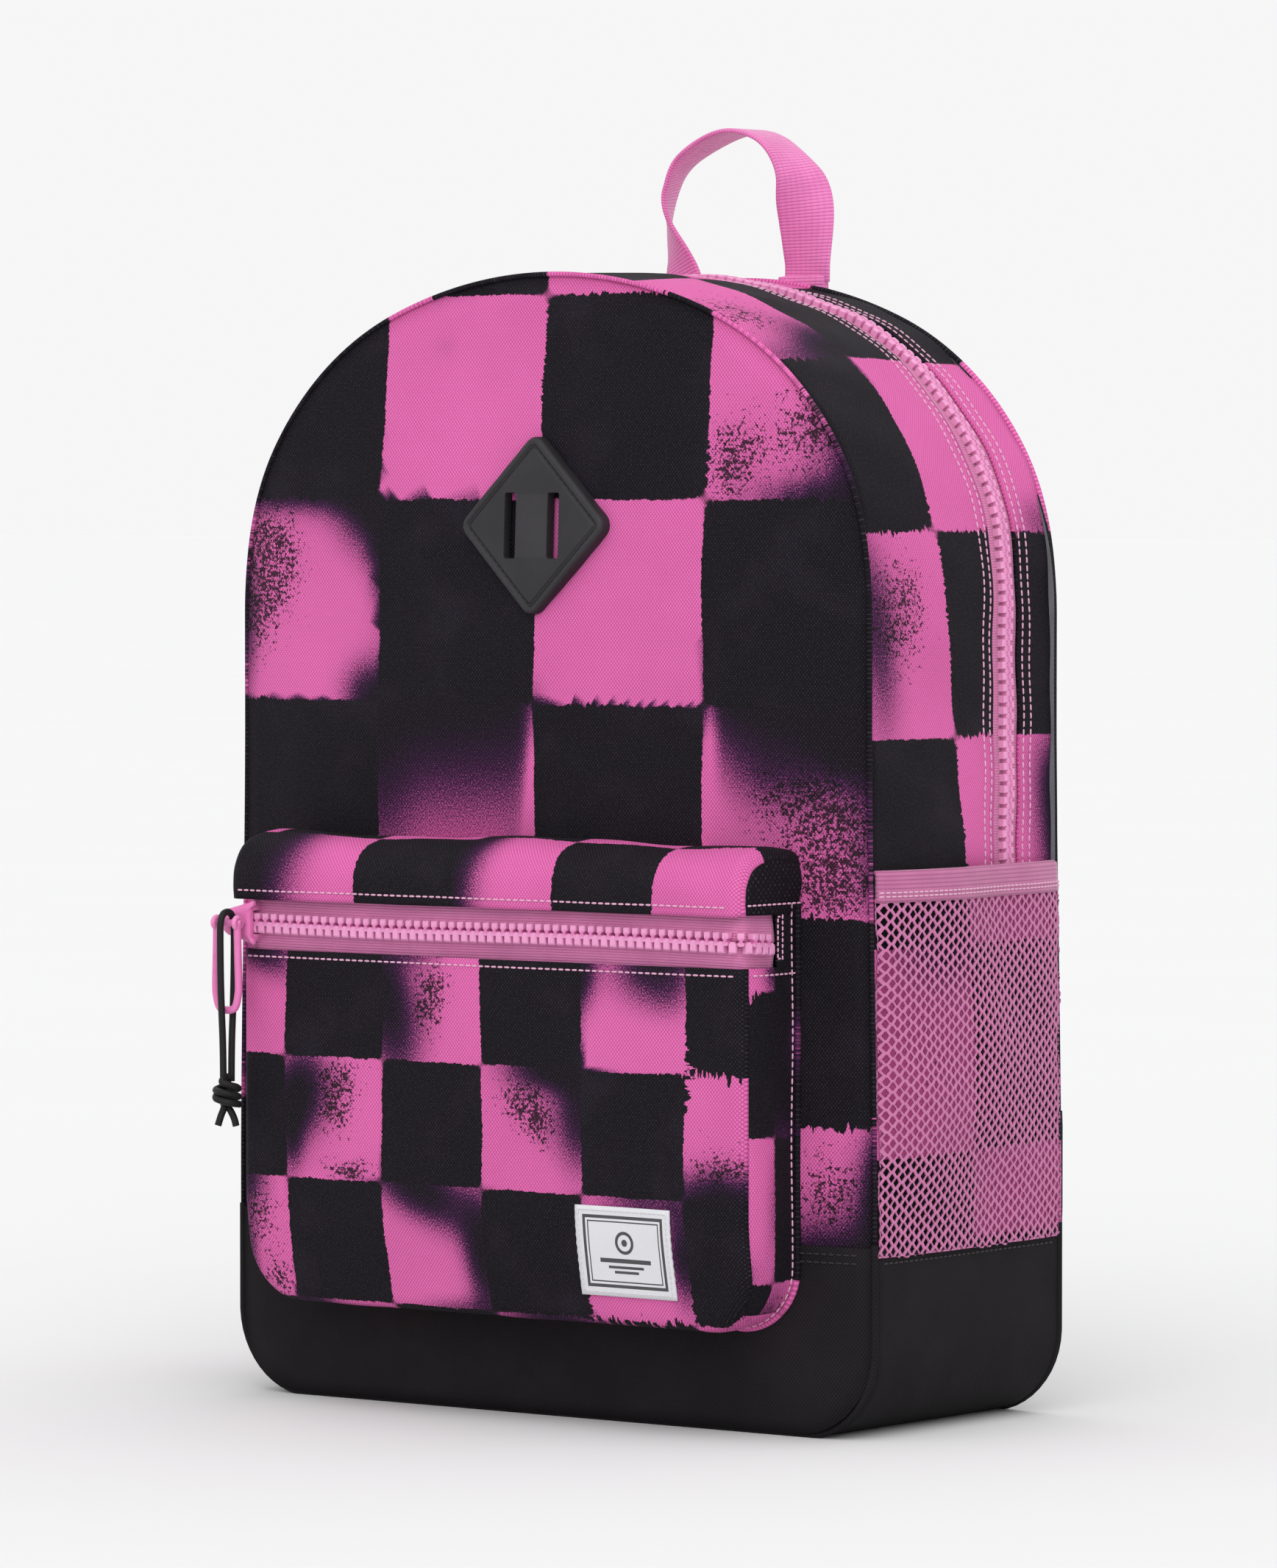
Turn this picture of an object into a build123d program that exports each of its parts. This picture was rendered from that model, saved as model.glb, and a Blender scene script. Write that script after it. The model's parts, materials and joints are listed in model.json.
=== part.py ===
from build123d import *
from math import atan2, degrees, sqrt, tan, radians
import os

# School backpack, in millimetres. The origin is the centre of the flat base on the floor, +Z is up,
# the front pocket faces -Y and the shoulder straps are on +Y. Soft panels are plain closed plates.

# ---- driving dimensions -------------------------------------------------------------------------
HALF_WIDTH = 147.0
FRONT = -60.0                 # outer face of the front panel
REAR = 57.5                   # outer face of the back panel
WALL = 2.0                    # outer fabric, thin foam and lining together
TOP_ARC_R = 190.0
TOP_ARC_Z = 230.0             # height of the top arc's centre
SHOULDER_R = 119.0
CORNER_R = 32.0               # rounded lower corners in the front view
BOOT_TOP = 68.0               # seam between the plain base and the printed fabric
FOLD_Z = 240.0                # line where the unzipped front flap folds forward
FOLD_GAP = 0.3
SEAM_WIDTH = 2.0              # folded seam's width in the front view
SEAM_PROUD = 1.0              # folded seam stands out of the panels by this
DOME = 5.0                    # the front panel's middle stands this far ahead of its edge
DOME_RIM = 32.0               # width of the sloping rim of the dome

ZIP_Y = 27.0                  # centre line of the main zip
ZIP_END_Z = 200.0             # the main zip ends here on both sides
TEETH_GAP = 0.8               # half the gap between the two rows of teeth
TEETH_WIDTH = 3.6
TEETH_THICK = 4.8
TAPE_WIDTH = 4.6
TAPE_THICK = 1.0

POCKET_HALF = 115.5
POCKET_FRONT = -98.5
POCKET_LOW = 39.0
POCKET_CORNER_R = 22.0
POCKET_MOUTH_LOW = 170.0      # top edge of the front pocket's lower panel
POCKET_MOUTH_HIGH = 190.0     # lower edge of its hood
POCKET_TOP = 212.0

SIDE_POCKET_TOP = 204.6
ELASTIC_LOW = 193.0
SIDE_POCKET_BOW = 7.0         # how far a side pocket stands out at its middle

PATCH_HALF = 34.6             # half diagonal of the lash patch
PATCH_Z = 327.4
PATCH_THICK = 5.5

HANDLE_TOP = 477.0
HANDLE_HALF = 30.0
WEBBING = 20.0
WEBBING_THICK = 2.0

STRAP_TOP_Z = 358.0
CLEAR = 0.4                   # running clearance of sliders, pulls and hinges
CORD_D = 2.6                  # cord on the pocket pull

SHOULDER_X = HALF_WIDTH - SHOULDER_R
SHOULDER_Z = TOP_ARC_Z + sqrt((TOP_ARC_R - SHOULDER_R) ** 2 - SHOULDER_X ** 2)
GUSSET_FRONT = FRONT + WALL
GUSSET_REAR = REAR - WALL
FAR = 600.0                   # beyond the bag on any side

pieces = {}


# ---- shared shapes ------------------------------------------------------------------------------
def body_outline(inset):
    """Front view of the bag: flat base, round lower corners, straight sides, three-arc top."""
    side = HALF_WIDTH - inset
    corner = max(CORNER_R - inset, 1.0)
    flat = side - corner
    corner_z = inset + corner
    lean = degrees(atan2(SHOULDER_Z - TOP_ARC_Z, SHOULDER_X))
    Line((-flat, inset), (flat, inset))
    CenterArc((flat, corner_z), corner, -90, 90)
    Line((side, corner_z), (side, SHOULDER_Z))
    CenterArc((SHOULDER_X, SHOULDER_Z), SHOULDER_R - inset, 0, lean)
    CenterArc((0, TOP_ARC_Z), TOP_ARC_R - inset, lean, 180 - 2 * lean)
    CenterArc((-SHOULDER_X, SHOULDER_Z), SHOULDER_R - inset, 180 - lean, lean)
    Line((-side, SHOULDER_Z), (-side, corner_z))
    CenterArc((-flat, corner_z), corner, 180, 90)


def pocket_outline(inset, top):
    """Front view of the front pocket, open at its top edge."""
    side = POCKET_HALF - inset
    low = POCKET_LOW + inset
    corner = POCKET_CORNER_R - inset
    flat = side - corner
    Line((-flat, low), (flat, low))
    CenterArc((flat, low + corner), corner, -90, 90)
    Line((side, low + corner), (side, top))
    Line((side, top), (-side, top))
    Line((-side, top), (-side, low + corner))
    CenterArc((-flat, low + corner), corner, 180, 90)


def keep_between(low, high, plane=Plane.XY):
    """Trim the current part to the space between two offsets of a plane."""
    split(bisect_by=plane.offset(low), keep=Keep.TOP)
    split(bisect_by=plane.offset(high), keep=Keep.BOTTOM)


def panel(front, rear, inset, low, high):
    """Flat panel of the body's outline between two depths and two heights."""
    with BuildPart() as flat_panel:
        with BuildSketch(Plane.XZ.offset(-rear)):
            with BuildLine():
                body_outline(inset)
            make_face()
        extrude(amount=rear - front)
        keep_between(low, high)
    return flat_panel


def strip(front, rear, outer, inner, low, high):
    """Strip that follows the body's outline, between two insets, two depths and two heights."""
    with BuildPart() as bent_strip:
        with BuildSketch(Plane.XZ.offset(-rear)):
            with BuildLine():
                body_outline(outer)
            make_face()
            with BuildLine():
                body_outline(inner)
            make_face(mode=Mode.SUBTRACT)
        extrude(amount=rear - front)
        keep_between(low, high)
    return bent_strip


def one_side(whole, sign, inner=0.0):
    """The part of a symmetric piece on one side, from x = inner outwards."""
    with BuildPart() as half:
        add(whole.part)
        if sign > 0:
            keep_between(inner, FAR, Plane.YZ)
        else:
            keep_between(-FAR, -inner, Plane.YZ)
    return half


def block(low, high, edge=0.0):
    """Block between two corners, with its edges along Y rounded."""
    size = [b - a for a, b in zip(low, high)]
    middle = tuple((a + b) / 2 for a, b in zip(low, high))
    with BuildPart() as solid:
        with Locations(middle):
            Box(*size)
        if edge:
            fillet(solid.edges().filter_by(Axis.Y), edge)
    return solid


def mirrored(whole):
    """The same piece on the other side of the bag."""
    with BuildPart() as other:
        add(mirror(whole.part, about=Plane.YZ, mode=Mode.PRIVATE))
    return other


def both_sides(whole):
    """A piece and its mirror image in one group."""
    with BuildPart() as pair:
        add(whole.part)
        mirror(about=Plane.YZ)
    return pair


# ---- shell --------------------------------------------------------------------------------------
def make_back():
    pad_inset = 24.0
    pad_thick = 7.0
    pieces["back_panel"] = panel(GUSSET_REAR, REAR, 0, 0, FAR)
    pieces["back_pad"] = panel(REAR, REAR + pad_thick, pad_inset, 0, FAR)


def make_gussets():
    """Side and top walls: plain sides below the zip, and one strip on each side of the zip."""
    tape_front = ZIP_Y - TEETH_GAP - TEETH_WIDTH - TAPE_WIDTH
    tape_rear = ZIP_Y + TEETH_GAP + TEETH_WIDTH + TAPE_WIDTH
    sides = strip(GUSSET_FRONT, GUSSET_REAR, 0, WALL, BOOT_TOP, ZIP_END_Z)
    lower = strip(GUSSET_FRONT, tape_front, 0, WALL, ZIP_END_Z, FOLD_Z)
    for side, sign in (("left", -1), ("right", 1)):
        pieces["side_panel_" + side] = one_side(sides, sign)
        pieces["gusset_front_" + side] = one_side(lower, sign)
    pieces["gusset_rear"] = strip(tape_rear, GUSSET_REAR, 0, WALL, ZIP_END_Z, FAR)
    pieces["gusset_front_upper"] = strip(GUSSET_FRONT, tape_front, 0, WALL, FOLD_Z + FOLD_GAP, FAR)


def make_front():
    upper = FOLD_Z + FOLD_GAP
    pieces["front_panel_lower"] = panel(FRONT, GUSSET_FRONT, SEAM_WIDTH, BOOT_TOP, FOLD_Z)
    pieces["front_panel_upper"] = domed_panel(upper)
    front = FRONT - SEAM_PROUD
    pieces["seam_front_lower"] = strip(front, GUSSET_FRONT, -SEAM_PROUD, SEAM_WIDTH, 0.5, FOLD_Z)
    pieces["seam_front_upper"] = strip(front, GUSSET_FRONT, -SEAM_PROUD, SEAM_WIDTH, upper, FAR)
    rear = strip(REAR, REAR + SEAM_WIDTH, -SEAM_PROUD, SEAM_WIDTH, 0.5, FAR)
    pieces["seam_rear"] = rear


def domed_panel(low):
    """Upper front panel: a shell whose rim slopes forward to a flat middle."""
    with BuildPart() as dome:
        with BuildSketch(Plane.XZ.offset(-GUSSET_FRONT)):
            with BuildLine():
                body_outline(SEAM_WIDTH)
            make_face()
        extrude(amount=WALL)
        for inset, rim_y, mode in ((SEAM_WIDTH, FRONT, Mode.ADD), (SEAM_WIDTH + WALL, GUSSET_FRONT, Mode.SUBTRACT)):
            with BuildSketch(Plane.XZ.offset(-rim_y)):
                with BuildLine():
                    body_outline(inset)
                make_face()
            with BuildSketch(Plane.XZ.offset(-rim_y + DOME)):
                with BuildLine():
                    body_outline(inset + DOME_RIM)
                make_face()
            loft(ruled=True, mode=mode)
        keep_between(low, FAR)
    return dome


def make_boot():
    """Plain base of the bag, and the stiff board that lies in it."""
    flat = HALF_WIDTH - CORNER_R
    board_thick = 2.0
    board_gap = 0.3
    board_margin = 6.0
    wall = strip(GUSSET_FRONT, GUSSET_REAR, 0, WALL, 0, BOOT_TOP)
    pieces["boot_front"] = panel(FRONT, GUSSET_FRONT, SEAM_WIDTH, 0, BOOT_TOP)
    for side, sign in (("left", -1), ("right", 1)):
        pieces["boot_side_" + side] = one_side(wall, sign, flat)
    pieces["boot_base"] = block((-flat, GUSSET_FRONT, 0), (flat, GUSSET_REAR, WALL))
    low = (-flat, GUSSET_FRONT + board_margin, WALL + board_gap)
    high = (flat, GUSSET_REAR - 3 * board_margin, WALL + board_gap + board_thick)
    pieces["base_board"] = block(low, high)


# ---- main zip -----------------------------------------------------------------------------------
def make_main_zip():
    teeth_rear = ZIP_Y + TEETH_GAP
    tape_rear = teeth_rear + TEETH_WIDTH
    teeth_front = ZIP_Y - TEETH_GAP - TEETH_WIDTH
    tape_front = teeth_front - TAPE_WIDTH
    out = -TEETH_THICK / 2 + TAPE_THICK / 2
    upper = FOLD_Z + FOLD_GAP
    depths = {"teeth_rear": (teeth_rear, tape_rear), "tape_rear": (tape_rear, tape_rear + TAPE_WIDTH)}
    for name, (front, rear) in depths.items():
        inner = out + TEETH_THICK if "teeth" in name else TAPE_THICK
        outer = out if "teeth" in name else 0
        pieces["main_" + name] = strip(front, rear, outer, inner, ZIP_END_Z, FAR)
    for part, low, high in (("lower", ZIP_END_Z, FOLD_Z), ("upper", upper, FAR)):
        teeth = strip(teeth_front, teeth_front + TEETH_WIDTH, out, out + TEETH_THICK, low, high)
        pieces["main_teeth_front_" + part] = teeth
        pieces["main_tape_front_" + part] = strip(tape_front, teeth_front, 0, TAPE_THICK, low, high)


# ---- front pocket -------------------------------------------------------------------------------
def make_pocket():
    inner_front = POCKET_FRONT + WALL
    with BuildPart() as front_panel:
        with BuildSketch(Plane.XZ.offset(-inner_front)):
            with BuildLine():
                pocket_outline(0, POCKET_MOUTH_LOW)
            make_face()
        extrude(amount=WALL)
    pieces["pocket_front_panel"] = front_panel

    with BuildPart() as wall:
        with BuildSketch(Plane.XZ.offset(-FRONT)):
            with BuildLine():
                pocket_outline(0, POCKET_MOUTH_HIGH)
            make_face()
            with BuildLine():
                pocket_outline(WALL, POCKET_MOUTH_HIGH + WALL)
            make_face(mode=Mode.SUBTRACT)
        extrude(amount=FRONT - inner_front)
    flat = POCKET_HALF - POCKET_CORNER_R
    for side, sign in (("left", -1), ("right", 1)):
        pieces["pocket_side_" + side] = one_side(wall, sign, flat)
    low = (-flat, inner_front, POCKET_LOW)
    pieces["pocket_bottom"] = block(low, (flat, FRONT, POCKET_LOW + WALL))
    pieces["pocket_hood"] = make_hood()


def make_hood():
    """Cap of the pocket: closed on top, in front and at both ends, open below and at the back."""
    round_outer = 9.0
    with BuildPart() as hood:
        for shrink, mode in ((0.0, Mode.ADD), (WALL, Mode.SUBTRACT)):
            front = POCKET_FRONT + shrink
            top = POCKET_TOP - shrink
            bend = round_outer - shrink
            with BuildSketch(Plane.YZ.offset(-POCKET_HALF + shrink)):
                with BuildLine():
                    Line((FRONT, POCKET_MOUTH_HIGH), (front, POCKET_MOUTH_HIGH))
                    Line((front, POCKET_MOUTH_HIGH), (front, top - bend))
                    CenterArc((front + bend, top - bend), bend, 180, -90)
                    Line((front + bend, top), (FRONT, top))
                    Line((FRONT, top), (FRONT, POCKET_MOUTH_HIGH))
                make_face()
            extrude(amount=2 * (POCKET_HALF - shrink), mode=mode)
    return hood


def make_pocket_zip():
    """Tapes and teeth across the pocket's mouth, and the short tabs that close its ends."""
    middle = (POCKET_MOUTH_LOW + POCKET_MOUTH_HIGH) / 2
    tape_y = POCKET_FRONT + (WALL - TAPE_THICK) / 2
    teeth_y = tape_y + (TAPE_THICK - TEETH_THICK) / 2
    tape_half = 108.5
    teeth_half = 106.0
    tab_right = POCKET_HALF - tape_half
    tab_left = WALL
    for name, sign in (("upper", 1), ("lower", -1)):
        near = middle + sign * TEETH_GAP
        joint = near + sign * TEETH_WIDTH
        edge = middle + sign * (POCKET_MOUTH_HIGH - middle)
        teeth_z = sorted((near, joint))
        tape_z = sorted((joint, edge))
        low = (-teeth_half, teeth_y, teeth_z[0])
        high = (teeth_half, teeth_y + TEETH_THICK, teeth_z[1])
        pieces["pocket_teeth_" + name] = block(low, high)
        low = (-POCKET_HALF + tab_left, tape_y, tape_z[0])
        high = (tape_half, tape_y + TAPE_THICK, tape_z[1])
        pieces["pocket_tape_" + name] = block(low, high)
    with BuildPart() as tabs:
        for start, end in ((-POCKET_HALF, -POCKET_HALF + tab_left), (POCKET_HALF - tab_right, POCKET_HALF)):
            with Locations(((start + end) / 2, POCKET_FRONT + WALL / 2, middle)):
                Box(end - start, WALL, POCKET_MOUTH_HIGH - POCKET_MOUTH_LOW)
    pieces["pocket_zip_ends"] = tabs


def make_label():
    low = (42.5, POCKET_FRONT - 0.8, 50.0)
    high = (85.2, POCKET_FRONT, 82.8)
    pieces["label"] = block(low, high)


# ---- side pockets -------------------------------------------------------------------------------
def make_side_pockets():
    """Bowed net pocket with a closed foot, and the elastic band along its top edge."""
    front = GUSSET_FRONT + 1.0
    rear = GUSSET_REAR - 1.0
    middle = (front + rear) / 2
    parts = {
        "net": (1.2, BOOT_TOP, ELASTIC_LOW, BOOT_TOP + 1.2),
        "elastic": (2.0, ELASTIC_LOW, SIDE_POCKET_TOP, ELASTIC_LOW),
    }
    for name, (thick, low, high, floor) in parts.items():
        with BuildPart() as bowed:
            for shrink, start, mode in ((0.0, low, Mode.ADD), (thick, floor, Mode.SUBTRACT)):
                bow = HALF_WIDTH + SIDE_POCKET_BOW + 1.2 - shrink
                with BuildSketch(Plane.XY.offset(start)):
                    with BuildLine():
                        ends = ((HALF_WIDTH, front + 3 * shrink), (HALF_WIDTH, rear - 3 * shrink))
                        ThreePointArc(ends[0], (bow, middle), ends[1])
                        Line(ends[1], ends[0])
                    make_face()
                extrude(amount=high - start, mode=mode)
        pieces["side_pocket_" + name + "_right"] = bowed
        pieces["side_pocket_" + name + "_left"] = mirrored(bowed)


# ---- inside -------------------------------------------------------------------------------------
def make_sleeve():
    """Flat sleeve for a tablet against the back, with a bound top edge."""
    top = 296.0
    front = 41.5
    half = HALF_WIDTH - WALL - 0.5
    low = 34.0
    pieces["sleeve_panel"] = block((-half, front, low), (half, front + 1.5, top))
    binding = block((-half, front - 0.8, top), (half, front + 2.3, top + 8.0))
    pieces["sleeve_binding"] = binding


# ---- lash patch ---------------------------------------------------------------------------------
def make_patch():
    """Moulded diamond with two upright slots."""
    corner = 5.0
    slot = (5.8, 25.0)
    slot_x = 9.9
    bevel = 1.6
    with BuildPart() as patch:
        with BuildSketch(Plane.XZ.offset(-FRONT + DOME)) as diamond:
            with Locations((0, PATCH_Z)):
                Rectangle(PATCH_HALF * sqrt(2), PATCH_HALF * sqrt(2), rotation=45)
            fillet(diamond.vertices(), corner)
            with Locations((-slot_x, PATCH_Z), (slot_x, PATCH_Z)):
                Rectangle(*slot, mode=Mode.SUBTRACT)
        extrude(amount=PATCH_THICK)
        rim = patch.faces().sort_by(Axis.Y)[0].outer_wire().edges()
        chamfer(rim, bevel)
    pieces["lash_patch"] = patch


# ---- handle -------------------------------------------------------------------------------------
def make_handle():
    """Webbing loop standing over the back seam, and the two sewn ends that hold it."""
    seam_top = 420.6
    leg_low = 421.6
    leg_high = 434.0
    overlap = 2.0
    leg_x = HANDLE_HALF - WEBBING_THICK / 2
    leg_y = REAR + SEAM_WIDTH + WEBBING_THICK / 2
    anchor_low = 404.0
    centre_z = HANDLE_TOP - HANDLE_HALF
    band_low = leg_high - overlap
    with BuildPart() as handle:
        with BuildSketch(Plane.XZ.offset(-leg_y - WEBBING / 2)):
            for radius, mode in ((HANDLE_HALF, Mode.ADD), (HANDLE_HALF - WEBBING_THICK, Mode.SUBTRACT)):
                with BuildLine():
                    CenterArc((0, centre_z), radius, 0, 180)
                    Line((-radius, centre_z), (-radius, band_low))
                    Line((-radius, band_low), (radius, band_low))
                    Line((radius, band_low), (radius, centre_z))
                make_face(mode=mode)
        extrude(amount=WEBBING)
        with Locations(*[(x, leg_y, (leg_low + leg_high) / 2) for x in (-leg_x, leg_x)]):
            Box(WEBBING, WEBBING_THICK, leg_high - leg_low)
    pieces["handle_webbing"] = handle
    with BuildPart() as anchors:
        with Locations(*[(x, leg_y, (anchor_low + seam_top) / 2) for x in (-leg_x, leg_x)]):
            Box(WEBBING, WEBBING_THICK, seam_top - anchor_low)
    pieces["handle_anchor"] = anchors


# ---- shoulder straps ----------------------------------------------------------------------------
PAD_BACK = REAR + 7.0         # face of the back pad that the straps lie on
STRAP_LOW = (80.0, 74.5, 169.0)      # middle of the right pad's lower end
ANCHOR = (137.0, 65.0, 98.0)         # where its webbing is sewn to the bag


def make_strap_pad():
    """Curved pad: an S in the front view, bowed away from the back in the side view."""
    thick = 9.0
    with BuildPart() as pad:
        with BuildSketch(Plane.XZ.offset(-PAD_BACK)):
            with BuildLine():
                outer_edge = ((66.0, STRAP_TOP_Z), (80.0, 258.0), (101.0, 176.0))
                inner_edge = ((60.0, 163.0), (32.0, 258.0), (16.0, STRAP_TOP_Z))
                ThreePointArc(*outer_edge)
                Line(outer_edge[-1], inner_edge[0])
                ThreePointArc(*inner_edge)
                Line(inner_edge[-1], outer_edge[0])
            make_face()
        extrude(amount=-40.0)
        with BuildSketch(Plane.YZ):
            with BuildLine():
                inner = ((67.0, STRAP_TOP_Z + 5.0), (80.0, 270.0), (70.0, 155.0))
                outer = [(y + thick, z) for y, z in reversed(inner)]
                ThreePointArc(*inner)
                Line(inner[-1], outer[0])
                ThreePointArc(*outer)
                Line(outer[-1], inner[0])
            make_face()
        extrude(amount=FAR, both=True, mode=Mode.INTERSECT)
    return pad


def strap_plane():
    """Plane of the lower webbing: its local Y runs from the pad's end down to the sewn tab."""
    along = (Vector(*ANCHOR) - Vector(*STRAP_LOW)).normalized()
    across = along.cross(Vector(0, 1, 0)).normalized()
    normal = across.cross(along)
    return Plane(origin=STRAP_LOW, x_dir=across, z_dir=normal)


def make_straps():
    lock = (34.0, 24.0, 4.0)
    lock_start = 6.0
    slot = (26.5, 4.5)
    slot_step = 6.5
    width = 25.0
    plane = strap_plane()
    reach = (Vector(*ANCHOR) - Vector(*STRAP_LOW)).length
    with BuildPart() as ladder_lock:
        with BuildSketch(plane.offset(-lock[2] / 2)) as frame:
            with Locations((0, lock_start + lock[1] / 2)):
                RectangleRounded(lock[0], lock[1], 4.0)
            with Locations(*[(0, lock_start + lock[1] / 2 + step) for step in (-slot_step, slot_step)]):
                Rectangle(*slot, mode=Mode.SUBTRACT)
        extrude(amount=lock[2])
    start = lock_start + lock[1] + 0.3
    with BuildPart() as webbing:
        with BuildSketch(plane.offset(-WEBBING_THICK / 2)):
            with Locations((0, (start + reach) / 2)):
                Rectangle(width, reach - start)
        extrude(amount=WEBBING_THICK)
    with BuildPart() as tab:
        with BuildSketch(Plane.XZ.offset(-REAR - SEAM_WIDTH)):
            Polygon((146.0, 70.0), (146.0, 112.0), (131.0, 106.0), (127.0, 90.0), align=None)
        extrude(amount=-1.5 * WEBBING_THICK)
    right = {
        "strap_pad": make_strap_pad(),
        "ladder_lock": ladder_lock,
        "strap_webbing": webbing,
        "strap_tab": tab,
    }
    for name, piece in right.items():
        pieces[name + "_right"] = piece
        pieces[name + "_left"] = mirrored(piece)
    yoke_low = (-68.0, PAD_BACK, STRAP_TOP_Z + 1.0)
    pieces["strap_yoke"] = block(yoke_low, (68.0, PAD_BACK + 2.5, 380.0), 6.0)


# ---- sliders, pulls and the cord ----------------------------------------------------------------
def slider(plane, outer, inner):
    """Two plates round the teeth, a post between the rows, and two ears with a pin.

    In the plane, local X runs along the zip, local Y across it and local Z out of the bag.
    outer and inner give the start and end of each plate along the zip.
    """
    plate = 1.6
    width = 14.0
    post = 1.0
    face = TEETH_THICK / 2 + CLEAR
    with BuildPart() as body:
        for (start, end), level in ((outer, face), (inner, -face - plate)):
            with BuildSketch(plane.offset(level)):
                with Locations(((start + end) / 2, 0)):
                    Rectangle(end - start, width)
            extrude(amount=plate)
        with BuildSketch(plane.offset(-face - plate)):
            with Locations((inner[0] + 1.6, 0)):
                Rectangle(2.4, post)
        extrude(amount=2 * (face + plate))
        with BuildSketch(plane.offset(face + plate)):
            with Locations((-EAR_X, 0), (EAR_X, 0)):
                Rectangle(EAR, 4.4)
        extrude(amount=PIN_OUT - face - plate + 1.8)
        with BuildSketch(Plane(plane.location * Location((-EAR_X, 0, PIN_OUT), (0, 90, 0)))):
            Circle(PIN_R)
        extrude(amount=2 * EAR_X)
    return body


EAR = 1.4
EAR_X = 4.5
PIN_R = 1.0
PIN_OUT = 10.2                # pin axis above the middle of the teeth
BARREL_R = 2.2
PULL_LENGTH = 34.0


def pull(plane):
    """Tapered open frame on a barrel. Local X runs along the pin, local Y points down the pull."""
    thick = 2.4
    top_half = 3.5
    low_half = 6.0
    rim = 1.7
    window_top = 4.4
    corner = 2.5
    with BuildPart() as frame:
        with BuildSketch(plane.offset(-thick / 2)) as outline:
            with BuildLine():
                Polyline((-top_half, 0), (top_half, 0), (top_half, 4.5), (low_half, PULL_LENGTH),
                         (-low_half, PULL_LENGTH), (-top_half, 4.5), close=True)
            make_face()
            fillet(outline.vertices().group_by(Axis.Z)[0], corner)
            with BuildLine():
                Polyline((-top_half + rim, window_top), (top_half - rim, window_top),
                         (low_half - rim, PULL_LENGTH - rim), (-low_half + rim, PULL_LENGTH - rim),
                         close=True)
            make_face(mode=Mode.SUBTRACT)
        extrude(amount=thick)
        axle = Plane(plane.location * Location((-top_half, 0, 0), (0, 90, 0)))
        with BuildSketch(axle):
            Circle(BARREL_R)
        extrude(amount=2 * top_half)
        with BuildSketch(axle):
            Circle(PIN_R + 0.2)
        extrude(amount=2 * top_half, mode=Mode.SUBTRACT)
    return frame


POCKET_SLIDER_X = -113.5
POCKET_ZIP_Z = (POCKET_MOUTH_LOW + POCKET_MOUTH_HIGH) / 2
POCKET_ZIP_Y = POCKET_FRONT + WALL / 2
MAIN_SLIDER_Z = 214.5
SIDE_ZIP_X = -HALF_WIDTH + TAPE_THICK / 2


def make_sliders():
    pocket = Plane((POCKET_SLIDER_X, POCKET_ZIP_Y, POCKET_ZIP_Z), x_dir=(1, 0, 0), z_dir=(0, -1, 0))
    pieces["pocket_slider"] = slider(pocket, (-6.0, 6.5), (0.7, 6.5))
    hang = Plane((POCKET_SLIDER_X, POCKET_ZIP_Y - PIN_OUT, POCKET_ZIP_Z), x_dir=(1, 0, 0), z_dir=(0, 1, 0))
    pieces["pocket_pull"] = pull(hang)

    main = Plane((SIDE_ZIP_X, ZIP_Y, MAIN_SLIDER_Z), x_dir=(0, 0, 1), z_dir=(-1, 0, 0))
    pieces["main_slider"] = main_slider(main)
    hang = Plane((SIDE_ZIP_X - PIN_OUT, ZIP_Y, MAIN_SLIDER_Z), x_dir=(0, 1, 0), z_dir=(-1, 0, 0))
    pieces["main_pull"] = pull(hang)


def main_slider(plane):
    """Slider of the upright side zip: its pin runs across the zip, so the pull hangs along it."""
    plate = 1.6
    width = 14.0
    half = 8.0
    face = TEETH_THICK / 2 + CLEAR
    with BuildPart() as body:
        for level in (face, -face - plate):
            with BuildSketch(plane.offset(level)):
                Rectangle(2 * half, width)
            extrude(amount=plate)
        with BuildSketch(plane.offset(-face - plate)):
            with Locations((half - 2.0, 0)):
                Rectangle(2.4, 1.0)
        extrude(amount=2 * (face + plate))
        with BuildSketch(plane.offset(face + plate)):
            with Locations((0, -EAR_X), (0, EAR_X)):
                Rectangle(4.4, EAR)
        extrude(amount=PIN_OUT - face - plate + 1.8)
        with BuildSketch(Plane(plane.location * Location((0, EAR_X, PIN_OUT), (90, 0, 0)))):
            Circle(PIN_R)
        extrude(amount=2 * EAR_X)
    return body


CORD_ROUTE = [
    (-113.8, -109.7, 121.0), (-113.8, -109.7, 133.0), (-113.4, -111.4, 152.0), (-113.7, -111.5, 171.5),
    (-113.5, -111.6, 184.0), (-113.5, -103.8, 184.0), (-113.3, -103.9, 171.5), (-113.6, -104.0, 152.0),
    (-113.2, -105.7, 133.0), (-113.2, -105.7, 121.0),
]


def bend_radii(route):
    """Radius of each bend: 0.45 of the shorter run, divided by the tangent of half the turn."""
    runs = [Vector(*b) - Vector(*a) for a, b in zip(route, route[1:])]
    radii = []
    for before, after in zip(runs, runs[1:]):
        turn = radians(before.get_angle(after))
        radii.append(0.45 * min(before.length, after.length) / tan(turn / 2))
    return radii


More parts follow.
